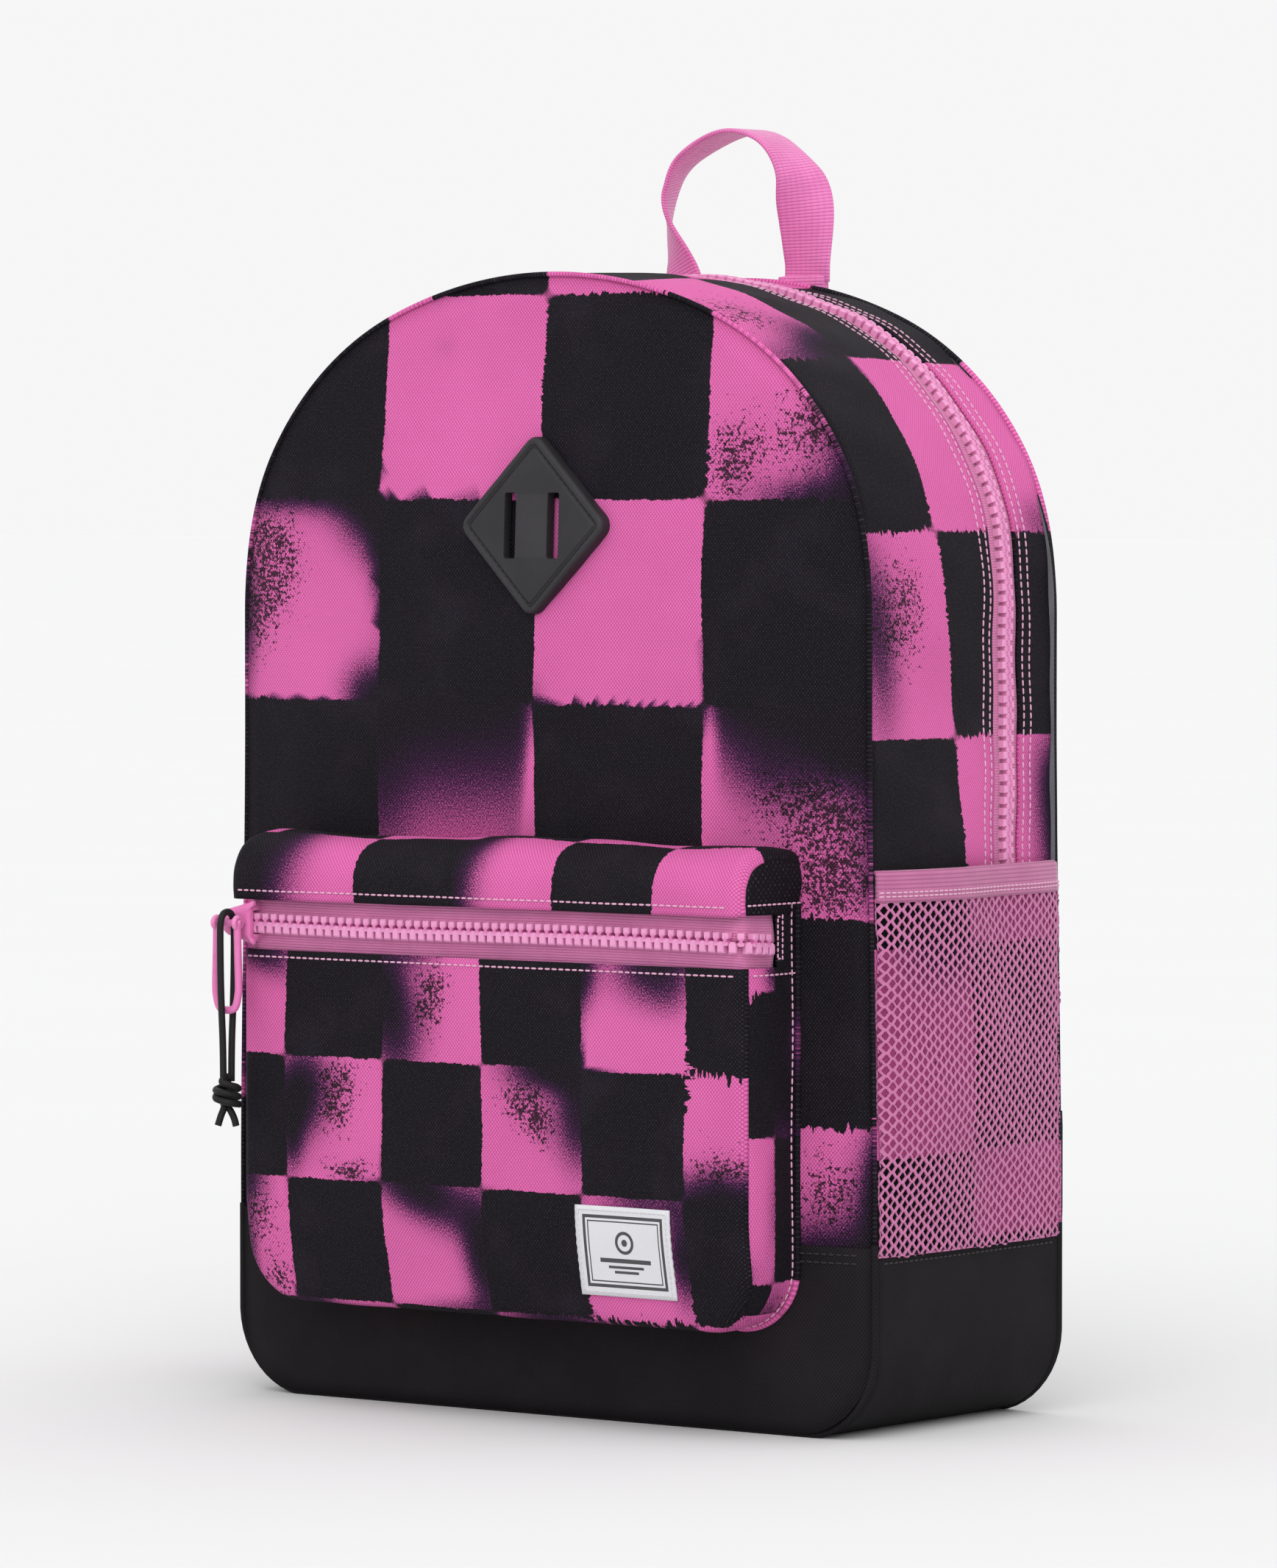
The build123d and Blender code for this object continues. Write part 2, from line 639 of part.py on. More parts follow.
def make_cord():
    """Doubled cord through the pull's frame and round its barrel, and the knot that joins its ends."""
    radii = bend_radii(CORD_ROUTE)
    with BuildPart() as cord:
        with BuildLine() as path:
            FilletPolyline(*CORD_ROUTE, radius=radii)
        start = Plane(origin=path.line @ 0, z_dir=path.line % 0)
        with BuildSketch(start):
            Circle(CORD_D / 2)
        sweep()
    pieces["pull_cord"] = cord
    length = sum(edge.length for edge in path.line.edges())
    share = cord.part.volume / (length * 3.14159 * CORD_D ** 2 / 4)
    print("cord length", round(length, 1), "volume share", round(share, 3))
    print("cord radii", [round(radius, 1) for radius in radii])

    knot_r = 6.2
    knot_low = 110.0
    knot_high = CORD_ROUTE[0][2]
    centre = (-113.5, -107.7)
    with BuildPart() as knot:
        with BuildSketch(Plane.XY.offset(knot_low)):
            with Locations(centre):
                Circle(knot_r)
        extrude(amount=knot_high - knot_low)
        fillet(knot.edges(), 3.0)
        with BuildSketch(Plane.XY.offset(knot_low - 6.0)):
            with Locations((centre[0] - 2.4, centre[1] - 0.6), (centre[0] + 1.8, centre[1] + 0.6)):
                Circle(CORD_D / 2)
        extrude(amount=8.0)
    pieces["pull_cord_knot"] = knot


# ---- build and write ----------------------------------------------------------------------------
make_back()
make_gussets()
make_front()
make_boot()
make_main_zip()
make_pocket()
make_pocket_zip()
make_label()
make_side_pockets()
make_sleeve()
make_patch()
make_handle()
make_straps()
make_sliders()
make_cord()

os.makedirs("parts", exist_ok=True)
for name, piece in pieces.items():
    piece.part.label = name
    export_step(piece.part, "parts/" + name + ".step")
print(len(pieces), "pieces written")
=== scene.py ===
import json
import math

import bmesh
import bpy
import numpy as np
from mathutils import Matrix, Vector
from mathutils.bvhtree import BVHTree


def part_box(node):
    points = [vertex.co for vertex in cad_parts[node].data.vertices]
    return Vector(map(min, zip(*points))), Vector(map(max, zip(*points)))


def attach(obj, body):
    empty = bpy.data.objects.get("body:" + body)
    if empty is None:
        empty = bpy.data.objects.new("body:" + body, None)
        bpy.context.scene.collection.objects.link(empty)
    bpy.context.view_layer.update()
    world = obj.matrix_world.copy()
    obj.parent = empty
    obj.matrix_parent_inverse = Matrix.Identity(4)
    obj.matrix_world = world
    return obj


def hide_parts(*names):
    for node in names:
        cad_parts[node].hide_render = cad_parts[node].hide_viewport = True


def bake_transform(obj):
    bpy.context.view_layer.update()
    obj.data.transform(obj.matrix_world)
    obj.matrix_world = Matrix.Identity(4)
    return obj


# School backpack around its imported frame. Shapes are worked out in millimetres in the row frame
# (+Z up, the pocket faces -Y) and turned into metres when a mesh is made.
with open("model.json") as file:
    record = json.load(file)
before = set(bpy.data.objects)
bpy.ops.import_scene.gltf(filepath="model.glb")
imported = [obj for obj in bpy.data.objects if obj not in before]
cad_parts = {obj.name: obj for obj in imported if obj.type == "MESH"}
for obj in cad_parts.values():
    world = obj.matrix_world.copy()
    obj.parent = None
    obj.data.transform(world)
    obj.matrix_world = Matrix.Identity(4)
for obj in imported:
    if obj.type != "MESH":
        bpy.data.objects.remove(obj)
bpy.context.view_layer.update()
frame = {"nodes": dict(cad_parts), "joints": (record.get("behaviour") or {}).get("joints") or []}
MM = 0.001


def box_mm(node):
    """The two corners of a CAD node's box, in millimetres."""
    low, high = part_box(node)
    return [v / MM for v in low], [v / MM for v in high]


def centre_mm(node):
    return [(a + b) / 2 for a, b in zip(*box_mm(node))]


def anchor_mm(joint):
    """A joint's anchor in millimetres."""
    entry = next(entry for entry in frame["joints"] if entry["name"] == joint)
    return Vector([v / MM for v in entry["pos_m"]])


# ---- sizes, from the frame ----------------------------------------------------------------------
HALF, REAR, HEIGHT = box_mm("back_panel")[1]
_, SEAM_Y, FOLD_Z = box_mm("front_panel_lower")[1]
BOOT_TOP = box_mm("boot_front")[1][2]
ZIP_END = box_mm("gusset_front_left")[0][2]
ZIP_FRONT = box_mm("gusset_front_upper")[1][1]
ZIP_REAR = box_mm("gusset_rear")[0][1]
ZIP_Y = (ZIP_FRONT + ZIP_REAR) / 2
POCKET_LOW, POCKET_HIGH = box_mm("pocket_front_panel")
PATCH_LOW, PATCH_HIGH = box_mm("lash_patch")
ELASTIC_LOW, ELASTIC_HIGH = box_mm("side_pocket_elastic_right")
NET_LOW = box_mm("side_pocket_net_right")[0]
LABEL_LOW, LABEL_HIGH = box_mm("label")
SIDES = (("left", -1), ("right", 1))

# ---- the outline, as in the CAD part: a top arc, shoulder arcs and lower corners ----------------
TOP_R = 190.0
SHOULDER_R = 119.0
CORNER_R = 32.0
TOP_Z = HEIGHT - TOP_R
SHOULDER_X = HALF - SHOULDER_R
SHOULDER_Z = TOP_Z + math.sqrt((TOP_R - SHOULDER_R) ** 2 - SHOULDER_X ** 2)
LEAN = math.atan2(SHOULDER_X, SHOULDER_Z - TOP_Z)
RUN_TOP = TOP_R * LEAN
RUN_SHOULDER = RUN_TOP + SHOULDER_R * (math.pi / 2 - LEAN)
RUN_SIDE = RUN_SHOULDER + SHOULDER_Z - CORNER_R
RUN_CORNER = RUN_SIDE + CORNER_R * math.pi / 2
RUN_ALL = RUN_CORNER + HALF - CORNER_R
SPINE_LOW = 112.0             # foot of the line up the middle that rings of points close on
FOLD_START = (0, 0, (FOLD_Z - 18) * MM)      # two heights about the flap's fold line
FOLD_END = (0, 0, (FOLD_Z + 62) * MM)


def run_at(z):
    """Distance along the outline from the top centre to a height on the straight side."""
    return RUN_SHOULDER + SHOULDER_Z - z


# ---- material helpers ---------------------------------------------------------------------------
def rgb(r, g, b):
    """Linear colour from 0 to 255 display values."""
    def channel(value):
        c = value / 255
        return c / 12.92 if c <= 0.04045 else ((c + 0.055) / 1.055) ** 2.4
    return (channel(r), channel(g), channel(b), 1.0)


PINK = rgb(234, 112, 182)
INK = rgb(26, 22, 29)
BLACK = (0, 0, 0, 1)
WHITE = (1, 1, 1, 1)
PURPLE = rgb(70, 30, 76)


class Nodes:
    """Short way to write a material's node tree."""

    def __init__(self, name):
        self.material = bpy.data.materials.new(name)
        self.material.use_nodes = True
        self.tree = self.material.node_tree
        self.shader = self.tree.nodes["Principled BSDF"]

    def add(self, kind, **values):
        node = self.tree.nodes.new(kind)
        for key, value in values.items():
            setattr(node, key, value)
        return node

    def put(self, node, socket, value):
        """Links an output, or sets a plain value."""
        if isinstance(value, bpy.types.NodeSocket):
            self.tree.links.new(value, node.inputs[socket])
        else:
            node.inputs[socket].default_value = value

    def math(self, operation, a, b=0.0):
        node = self.add("ShaderNodeMath", operation=operation)
        self.put(node, 0, a)
        self.put(node, 1, b)
        return node.outputs[0]

    def plus(self, a, b):
        return self.math("ADD", a, b)

    def minus(self, a, b):
        return self.math("SUBTRACT", a, b)

    def times(self, a, b):
        return self.math("MULTIPLY", a, b)

    def mix(self, factor, a, b):
        node = self.add("ShaderNodeMix", data_type="RGBA")
        for socket, value in ((0, factor), (6, a), (7, b)):
            self.put(node, socket, value)
        return node.outputs[2]

    def noise(self, vector, scale, detail=2.0, rough=0.5, out=0):
        node = self.add("ShaderNodeTexNoise")
        for socket, value in (("Vector", vector), ("Scale", scale), ("Detail", detail), ("Roughness", rough)):
            self.put(node, socket, value)
        return node.outputs[out]

    def smooth(self, value, low, high):
        """0 below low, 1 above high."""
        node = self.add("ShaderNodeMapRange", interpolation_type="SMOOTHSTEP")
        for socket, number in ((0, value), (1, low), (2, high)):
            self.put(node, socket, number)
        return node.outputs[0]

    def attribute(self, name):
        return self.add("ShaderNodeAttribute", attribute_name=name).outputs["Vector"]

    def scale(self, vector, factors):
        node = self.add("ShaderNodeVectorMath", operation="MULTIPLY")
        self.put(node, 0, vector)
        node.inputs[1].default_value = factors
        return node.outputs[0]

    def split(self, vector):
        node = self.add("ShaderNodeSeparateXYZ")
        self.put(node, 0, vector)
        return node.outputs

    def position(self):
        return self.add("ShaderNodeTexCoord").outputs["Object"]

    def sharp_edge_mask(self, low, high):
        """The sharp edges of a moulded piece."""
        return self.smooth(self.add("ShaderNodeNewGeometry").outputs["Pointiness"], low, high)

    def bump(self, height, strength, distance, normal=None):
        node = self.add("ShaderNodeBump")
        self.put(node, "Strength", strength)
        self.put(node, "Distance", distance)
        self.put(node, "Height", height)
        if normal is not None:
            self.put(node, "Normal", normal)
        return node.outputs[0]

    def finish(self, colour, rough, normal=None, **constants):
        self.put(self.shader, "Base Color", colour)
        self.put(self.shader, "Roughness", rough)
        if normal is not None:
            self.put(self.shader, "Normal", normal)
        for socket, value in constants.items():
            self.shader.inputs[socket.replace("_", " ")].default_value = value
        return self.material


def canvas(m, u, v, pitch):
    """Plain weave height: threads over and under each other, at a pitch in millimetres."""
    lean_u = m.times(u, math.pi / (1.5 * pitch))
    lean_v = m.times(v, math.pi / (1.8 * pitch))
    wave_u = m.math("SINE", m.plus(lean_u, lean_v))
    wave_v = m.math("SINE", m.minus(lean_u, lean_v))
    cross = m.math("ABSOLUTE", m.times(wave_u, wave_v))
    return m.math("POWER", cross, 0.6)


def print_material(name, cell):
    """Checkerboard print in ink on pink canvas, with sprayed shades, speckle and brushed edges.

    The cloth attribute holds millimetres along and up the cloth, from a corner of a black cell.
    The spray attribute holds the smooth shade, the speckle and the raggedness of the edges.
    """
    m = Nodes(name)
    cloth = m.attribute("cloth")
    u, v, _ = m.split(cloth)
    shade, speckle, ragged = m.split(m.attribute("spray"))
    warp = m.split(m.noise(cloth, 0.05, 3.0, 0.6, out=1))
    rough_edge = m.split(m.noise(cloth, 0.55, 3.0, 0.7, out=1))
    patchy = m.smooth(m.noise(cloth, 0.09, 2.0, 0.6), 0.36, 0.62)
    reach = m.times(m.times(ragged, 46.0), patchy)

    # The checks: a product of two sines, with wavy, rough and here and there brushed edges.
    edges = []
    for axis, along, factors in ((0, u, (0.05, 0.5, 1.0)), (1, v, (0.5, 0.05, 1.0))):
        spikes = m.noise(m.scale(cloth, factors), 1.0, 2.0, 0.6)
        moved = m.plus(along, m.times(m.minus(spikes, 0.5), reach))
        moved = m.plus(moved, m.times(m.minus(rough_edge[axis], 0.5), 2.2))
        moved = m.plus(moved, m.times(m.minus(warp[axis], 0.5), 2.4))
        edges.append(m.math("SINE", m.times(moved, math.pi / cell)))
    ink = m.smooth(m.times(edges[0], edges[1]), -0.005, 0.005)

    # Speckle and soft shade on the pink, then the ink over both.
    fine = m.noise(cloth, 0.7, 3.0, 0.7)
    coarse = m.noise(cloth, 0.22, 3.0, 0.65)
    grain = m.plus(m.times(fine, 0.68), m.times(coarse, 0.32))
    limit = m.minus(0.695, m.times(speckle, 0.215))
    spots = m.times(m.smooth(m.minus(grain, limit), -0.012, 0.016), 0.94)
    mist = m.minus(m.noise(cloth, 1.5, 2.0, 0.8), 0.5)
    soft = m.plus(shade, m.times(mist, m.times(m.smooth(shade, 0.0, 0.4), 1.3)))
    soft = m.plus(soft, m.times(speckle, 0.14))
    to_purple = m.smooth(soft, 0.02, 0.66)
    to_black = m.smooth(soft, 0.42, 1.0)
    tone = m.noise(cloth, 0.012, 3.0, 0.6)
    pink = m.mix(m.smooth(tone, 0.3, 0.75), PINK, rgb(224, 104, 173))
    colour = m.mix(to_black, m.mix(to_purple, pink, PURPLE), INK)
    colour = m.mix(spots, colour, INK)
    black = m.mix(m.smooth(m.noise(cloth, 0.03, 3.0, 0.6), 0.45, 0.8), INK, rgb(36, 30, 41))
    colour = m.mix(ink, colour, black)

    # The weave: painted shade in the gaps between threads, a faint painted highlight on the thread crowns in
    # patches, and relief.
    height = canvas(m, u, v, 0.9)
    dots = m.smooth(height, 0.25, 1.0)
    # Faint painted highlight on the thread crowns, in patches; the gaps below get painted shade.
    crown_highlight = m.times(m.smooth(height, 0.7, 1.0), m.smooth(m.noise(cloth, 0.9, 2.0, 0.6), 0.35, 0.7))
    crown = m.mix(m.times(crown_highlight, 0.032), colour, WHITE)
    threads = m.mix(dots, m.mix(0.41, colour, BLACK), crown)
    lumps = m.noise(cloth, 0.12, 3.0, 0.55)
    normal = m.bump(lumps, 0.12, 0.0012)
    normal = m.bump(height, 0.5, 0.00025, normal)
    rough = m.plus(0.62, m.times(height, 0.14))
    return m.finish(threads, rough, normal, Sheen_Weight=0.01, Sheen_Roughness=0.4, Specular_IOR_Level=0.08)


def canvas_material(name, colour, second, weave=0.9, rough=0.72, sheen=0.0, bump=0.45, attribute=True):
    """Plain woven fabric with a slight change of tone. Without the attribute it uses place."""
    m = Nodes(name)
    if attribute:
        cloth = m.attribute("cloth")
    else:
        cloth = m.scale(m.position(), (1000.0, 1000.0, 1000.0))
    u, v, w = m.split(cloth)
    if not attribute:
        u = m.plus(u, v)
        v = w
    height = canvas(m, u, v, weave)
    tone = m.mix(m.smooth(m.noise(cloth, 0.03, 4.0, 0.6), 0.35, 0.7), colour, second)
    # Painted shade in the gaps between threads and a faint painted highlight on their crowns.
    tone = m.mix(height, m.mix(0.35, tone, BLACK), m.mix(0.008, tone, WHITE))
    fuzz = m.noise(cloth, 2.2, 2.0, 0.6)
    normal = m.bump(m.noise(cloth, 0.12, 3.0, 0.55), 0.1, 0.0012)
    normal = m.bump(height, bump, 0.00022, normal)
    return m.finish(tone, m.plus(rough, m.times(fuzz, 0.12)), normal,
                    Sheen_Weight=sheen, Sheen_Roughness=0.5, Specular_IOR_Level=0.07)


def ribbed_material(name, colour, dark, pitch, cross=1.1, along=0, rough=0.6, sheen=0.3):
    """Webbing or elastic: ribs along one direction of the cloth, crossed by fine threads."""
    m = Nodes(name)
    cloth = m.attribute("cloth")
    axes = m.split(cloth)
    rib = m.math("ABSOLUTE", m.math("SINE", m.times(axes[along], math.pi / pitch)))
    thread = m.math("ABSOLUTE", m.math("SINE", m.times(axes[1 - along], math.pi / cross)))
    height = m.times(m.math("POWER", rib, 0.5), m.plus(0.7, m.times(thread, 0.3)))
    tone = m.mix(m.smooth(m.noise(cloth, 0.08, 3.0, 0.6), 0.3, 0.7), colour, m.mix(0.3, colour, dark))
    # Painted shade in the grooves between the ribs.
    tone = m.mix(m.smooth(height, 0.1, 0.9), dark, tone)
    return m.finish(tone, m.minus(rough + 0.1, m.times(height, 0.1)),
                    m.bump(height, 0.6, 0.0003), Sheen_Weight=sheen, Sheen_Roughness=0.4,
                    Specular_IOR_Level=0.3)


def plastic_material(name, colour, edge_colour, rough=0.34, grain=0.06):
    """Moulded plastic: fine moulding grain, slightly dulled patches and paler sharp edges."""
    m = Nodes(name)
    place = m.position()
    dull = m.noise(place, 160.0, 3.0, 0.6)
    fine = m.noise(place, 2600.0, 2.0, 0.5)
    # Paler on the sharp edges, by pointiness.
    tone = m.mix(m.times(m.sharp_edge_mask(0.52, 0.6), 0.5), colour, edge_colour)
    tone = m.mix(m.times(m.smooth(dull, 0.4, 0.8), 0.22), tone, m.mix(0.4, tone, BLACK))
    return m.finish(tone, m.plus(rough, m.times(dull, 0.16)),
                    m.bump(fine, grain, 0.0001), Specular_IOR_Level=0.45)


def rubber_material(name):
    """Matt black rubber with a fine grain and paler sharp edges."""
    m = Nodes(name)
    place = m.position()
    tone = m.mix(m.smooth(m.noise(place, 60.0, 4.0, 0.6), 0.35, 0.7), rgb(30, 28, 31), rgb(37, 35, 38))
    # Paler on the sharp edges, by pointiness.
    tone = m.mix(m.times(m.sharp_edge_mask(0.53, 0.62), 0.35), tone, rgb(78, 76, 80))
    grain = m.noise(place, 1500.0, 3.0, 0.6)
    return m.finish(tone, m.plus(0.5, m.times(grain, 0.18)), m.bump(grain, 0.18, 0.00015),
                    Specular_IOR_Level=0.4)


def thread_material(name, colour):
    """Twisted yarn, for stitches, net and cord."""
    m = Nodes(name)
    twist = m.noise(m.position(), 1800.0, 2.0, 0.6)
    tone = m.mix(twist, colour, m.mix(0.35, colour, BLACK))
    return m.finish(tone, 0.6, m.bump(twist, 0.4, 0.0001), Sheen_Weight=0.08, Sheen_Roughness=0.4,
                    Specular_IOR_Level=0.3)


def label_material(name):
    """White woven label: a thick and a thin dark frame, and plain bars and a disc in its middle."""
    m = Nodes(name)
    cloth = m.attribute("cloth")
    u, v, _ = m.split(cloth)
    half_w = (LABEL_HIGH[0] - LABEL_LOW[0]) / 2
    half_h = (LABEL_HIGH[2] - LABEL_LOW[2]) / 2
    au = m.math("ABSOLUTE", u)
    av = m.math("ABSOLUTE", v)
    inset = m.math("MINIMUM", m.minus(half_w, au), m.minus(half_h, av))

    def band(value, low, high):
        inside = m.math("GREATER_THAN", value, low)
        return m.times(inside, m.math("LESS_THAN", value, high))

    dark = m.math("MAXIMUM", band(inset, 3.2, 4.4), band(inset, 5.2, 5.7))
    for level, reach, thick in ((-3.2, 11.5, 0.8), (-5.6, 8.0, 0.5), (-7.4, 5.5, 0.5)):
        bar = m.times(band(m.minus(v, level), -thick, thick), m.math("LESS_THAN", au, reach))
        dark = m.math("MAXIMUM", dark, bar)
    ring = m.math("SQRT", m.plus(m.math("POWER", au, 2.0), m.math("POWER", m.minus(v, 3.4), 2.0)))
    dark = m.math("MAXIMUM", dark, band(ring, 3.0, 4.2))
    dark = m.math("MAXIMUM", dark, band(ring, -1.0, 1.3))
    height = canvas(m, u, v, 0.45)
    # Painted shade in the gaps of the weave, paler on the thread crowns.
    tone = m.mix(m.times(height, 0.4), rgb(205, 205, 210), rgb(240, 240, 243))
    tone = m.mix(m.times(dark, 0.94), tone, rgb(28, 27, 32))
    return m.finish(tone, 0.7, m.bump(height, 0.4, 0.00015), Sheen_Weight=0.2, Sheen_Roughness=0.4)


LARGE = 75.0
SMALL = 46.0
PRINT = print_material("printed_canvas_large", LARGE)
PRINT_SMALL = print_material("printed_canvas_small", SMALL)
BOOT = canvas_material("black_canvas", rgb(26, 23, 26), rgb(31, 28, 31), 0.95)
BLACK_CLOTH = canvas_material("black_binding", rgb(22, 20, 23), rgb(30, 28, 32), 0.7)
LINING = canvas_material("lining_cloth", rgb(112, 112, 118), rgb(96, 96, 102), 0.6, 0.6)
TAPE = ribbed_material("zip_tape_cloth", rgb(214, 128, 176), rgb(180, 94, 142), 1.0, 0.8, along=1)
ELASTIC = ribbed_material("elastic_band", rgb(186, 108, 150), rgb(150, 78, 120), 1.5, 1.0, along=1)
WEBBING = ribbed_material("handle_webbing_pink", rgb(226, 124, 184), rgb(186, 90, 148), 1.25, 2.4, along=1)
STRAP_WEB = ribbed_material("strap_webbing_black", rgb(34, 31, 35), rgb(14, 12, 14), 1.6, 2.4, along=0)
TEETH = plastic_material("zip_teeth_pink", rgb(208, 116, 170), rgb(236, 172, 210), 0.4)
SLIDER = plastic_material("zip_slider_pink", rgb(218, 112, 174), rgb(240, 160, 208), 0.3)
BUCKLE = plastic_material("buckle_black", rgb(26, 25, 27), rgb(60, 58, 62), 0.42)
BOARD = plastic_material("board_grey", rgb(60, 60, 62), rgb(80, 80, 82), 0.6)
RUBBER = rubber_material("patch_rubber_black")
THREAD_PINK = thread_material("thread_pale_pink", rgb(232, 176, 206))
THREAD_BLACK = thread_material("thread_black", rgb(46, 43, 48))
THREAD_WHITE = thread_material("thread_white", rgb(226, 226, 230))
NET = thread_material("net_yarn_pink", rgb(204, 120, 168))
CORD = thread_material("cord_black", rgb(19, 18, 20))
LABEL = label_material("woven_label")
AIR_MESH = canvas_material("air_mesh_black", rgb(30, 28, 32), rgb(22, 21, 24), 2.2, 0.8, 0.2, 0.9,
                           attribute=False)
STRAP_CLOTH = canvas_material("strap_cloth_black", rgb(24, 22, 26), rgb(31, 29, 33), 0.95, attribute=False)
PRINTED = (PRINT, LINING)
PRINTED_SMALL = (PRINT_SMALL, LINING)
PLAIN = (BOOT, LINING)


# ---- mesh helpers -------------------------------------------------------------------------------
def new_object(name, data, *materials):
    obj = bpy.data.objects.new(name, data)
    bpy.context.collection.objects.link(obj)
    for material in materials:
        data.materials.append(material)
    return obj


def set_vectors(mesh, name, values):
    """Stores a vector for each point, for the materials to read."""
    layer = mesh.attributes.new(name, "FLOAT_VECTOR", "POINT")
    layer.data.foreach_set("vector", np.asarray(values, np.float32).ravel())


def piece(name, points, faces, materials, cloth=None, spray=None, smooth=True):
    """Object from points in millimetres, with its cloth and spray attributes."""
    mesh = bpy.data.meshes.new(name)
    points = np.asarray(points, float).reshape(-1, 3)
    mesh.from_pydata((points * MM).tolist(), [], faces)
    if cloth is not None:
        flat = np.zeros((len(points), 3))
        flat[:, :2] = np.asarray(cloth, float).reshape(-1, 2)
        set_vectors(mesh, "cloth", flat)
    if spray is not None:
        set_vectors(mesh, "spray", np.asarray(spray, float).reshape(-1, 3))
    mesh.polygons.foreach_set("use_smooth", [smooth] * len(mesh.polygons))
    mesh.update()
    return new_object(name, mesh, *materials)


def grid_faces(rows, columns, close=False):
    """Quads over rows of points. close joins the last column to the first."""
    wide = columns if close else columns - 1
    return [(r * columns + c, r * columns + (c + 1) % columns,
             (r + 1) * columns + (c + 1) % columns, (r + 1) * columns + c)
            for r in range(rows - 1) for c in range(wide)]


def prism_faces(rows, columns):
    """Faces of a solid made of rings, with a flat face at each end."""
    ends = [tuple(range(columns - 1, -1, -1)), tuple(range((rows - 1) * columns, rows * columns))]
    return grid_faces(rows, columns, True) + ends


def rebuild(obj, work):
    """Runs bmesh work on an object's mesh."""
    edit = bmesh.new()
    edit.from_mesh(obj.data)
    work(edit)
    edit.to_mesh(obj.data)
    edit.free()
    obj.data.update()


def outward(obj):
    """Turns the faces of a closed shape outwards."""
    rebuild(obj, lambda edit: bmesh.ops.recalc_face_normals(edit, faces=edit.faces))
    return obj


def face_away(obj, inside):
    """Turns the faces so that they look away from a point, in millimetres."""
    def work(edit):
        edit.normal_update()
        middle = Vector(inside) * MM
        total = sum(face.normal.dot((face.calc_center_median() - middle).normalized()) * face.calc_area()
                    for face in edit.faces)
        if total < 0:
            bmesh.ops.reverse_faces(edit, faces=edit.faces)
    rebuild(obj, work)
    return obj


def weld(obj, distance=0.05):
    rebuild(obj, lambda edit: bmesh.ops.remove_doubles(edit, verts=edit.verts, dist=distance * MM))
    return obj


def cut(obj, point, normal):
    """Removes what lies on the normal's side of a plane."""
    def work(edit):
        bmesh.ops.bisect_plane(edit, geom=edit.verts[:] + edit.edges[:] + edit.faces[:],
                               plane_co=Vector(point) * MM, plane_no=normal, clear_outer=True)
    rebuild(obj, work)
    return obj


def bake_modifiers(obj):
    """Puts what the modifiers make in place of the mesh."""
    bpy.context.view_layer.update()
    depsgraph = bpy.context.evaluated_depsgraph_get()
    mesh = bpy.data.meshes.new_from_object(obj.evaluated_get(depsgraph), preserve_all_data_layers=True,
                                           depsgraph=depsgraph)
    obj.modifiers.clear()
    obj.data = mesh
    return obj


def thicken(obj, thick, second_material=False):
    """Gives a sheet its thickness, inwards. The inner face may have the second material."""
    solid = obj.modifiers.new("thick", "SOLIDIFY")
    solid.thickness = thick * MM
    solid.offset = -1
    solid.use_even_offset = False
    if second_material:
        solid.material_offset = 1
    return bake_modifiers(obj)


def finish_piece(obj, nodes=(), body="bag", bend=None):
    """Hides the CAD nodes it replaces; puts the piece on a body, or, given a bend's (start, end), only bakes
    its place.
    """
    if nodes:
        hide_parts(*nodes)
    if bend:
        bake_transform(obj)
    else:
        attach(obj, body)


def finish_folding(obj, nodes=(), fold=True):
    """The same for a piece of the bag that may run on over the flap."""
    if fold:
        finish_piece(obj, nodes, "front_flap", (FOLD_START, FOLD_END))
    else:
        finish_piece(obj, nodes)


def ease(x, low, high):
    """0 before low and 1 past high, smoothly. low may be the larger number."""
    t = min(max((x - low) / (high - low), 0.0), 1.0)
    return t * t * (3 - 2 * t)


# ---- the bag's surface --------------------------------------------------------------------------
def edge(s):
    """Point and outward direction on the bag's outline, seen from the front, s from the top centre."""
    side = 1.0 if s >= 0 else -1.0
    a = abs(s)
    if a <= RUN_TOP:
        turn = a / TOP_R
        x, z = TOP_R * math.sin(turn), TOP_Z + TOP_R * math.cos(turn)
    elif a <= RUN_SHOULDER:
        turn = LEAN + (a - RUN_TOP) / SHOULDER_R
        x, z = SHOULDER_X + SHOULDER_R * math.sin(turn), SHOULDER_Z + SHOULDER_R * math.cos(turn)
    elif a <= RUN_SIDE:
        turn = math.pi / 2
        x, z = HALF, SHOULDER_Z - (a - RUN_SHOULDER)
    elif a <= RUN_CORNER:
        turn = math.pi / 2 + (a - RUN_SIDE) / CORNER_R
        x = HALF - CORNER_R + CORNER_R * math.sin(turn)
        z = CORNER_R + CORNER_R * math.cos(turn)
    else:
        turn = math.pi
        x, z = HALF - CORNER_R - (a - RUN_CORNER), 0.0
    return side * x, z, side * math.sin(turn), math.cos(turn)


def outline_rings(inset, rings, columns, tapered=0):
    """Closed rings of (x, z, share) from the outline, moved in by an inset, to a line up the middle.

    share goes from 0 at the outline to 1 at that line.
    """
    grid = []
    for ring in range(rings + 1):
        share = 1 - (1 - ring / rings) ** 1.5
        for column in range(columns):
            s = (column / columns * 2 - 1) * RUN_ALL
            x, z, nx, nz = edge(s)
            x, z = x - nx * (inset + tapered * taper(z)), z - nz * inset
            middle = min(max(z, SPINE_LOW), TOP_Z)
            grid.append((x * (1 - share), z + (middle - z) * share, share))
    return grid


def taper(z):
    """The sides lean in slightly towards the shoulders."""
    return 2.4 * ease(z, 80, 260) * (1 - ease(z, 300, 356))


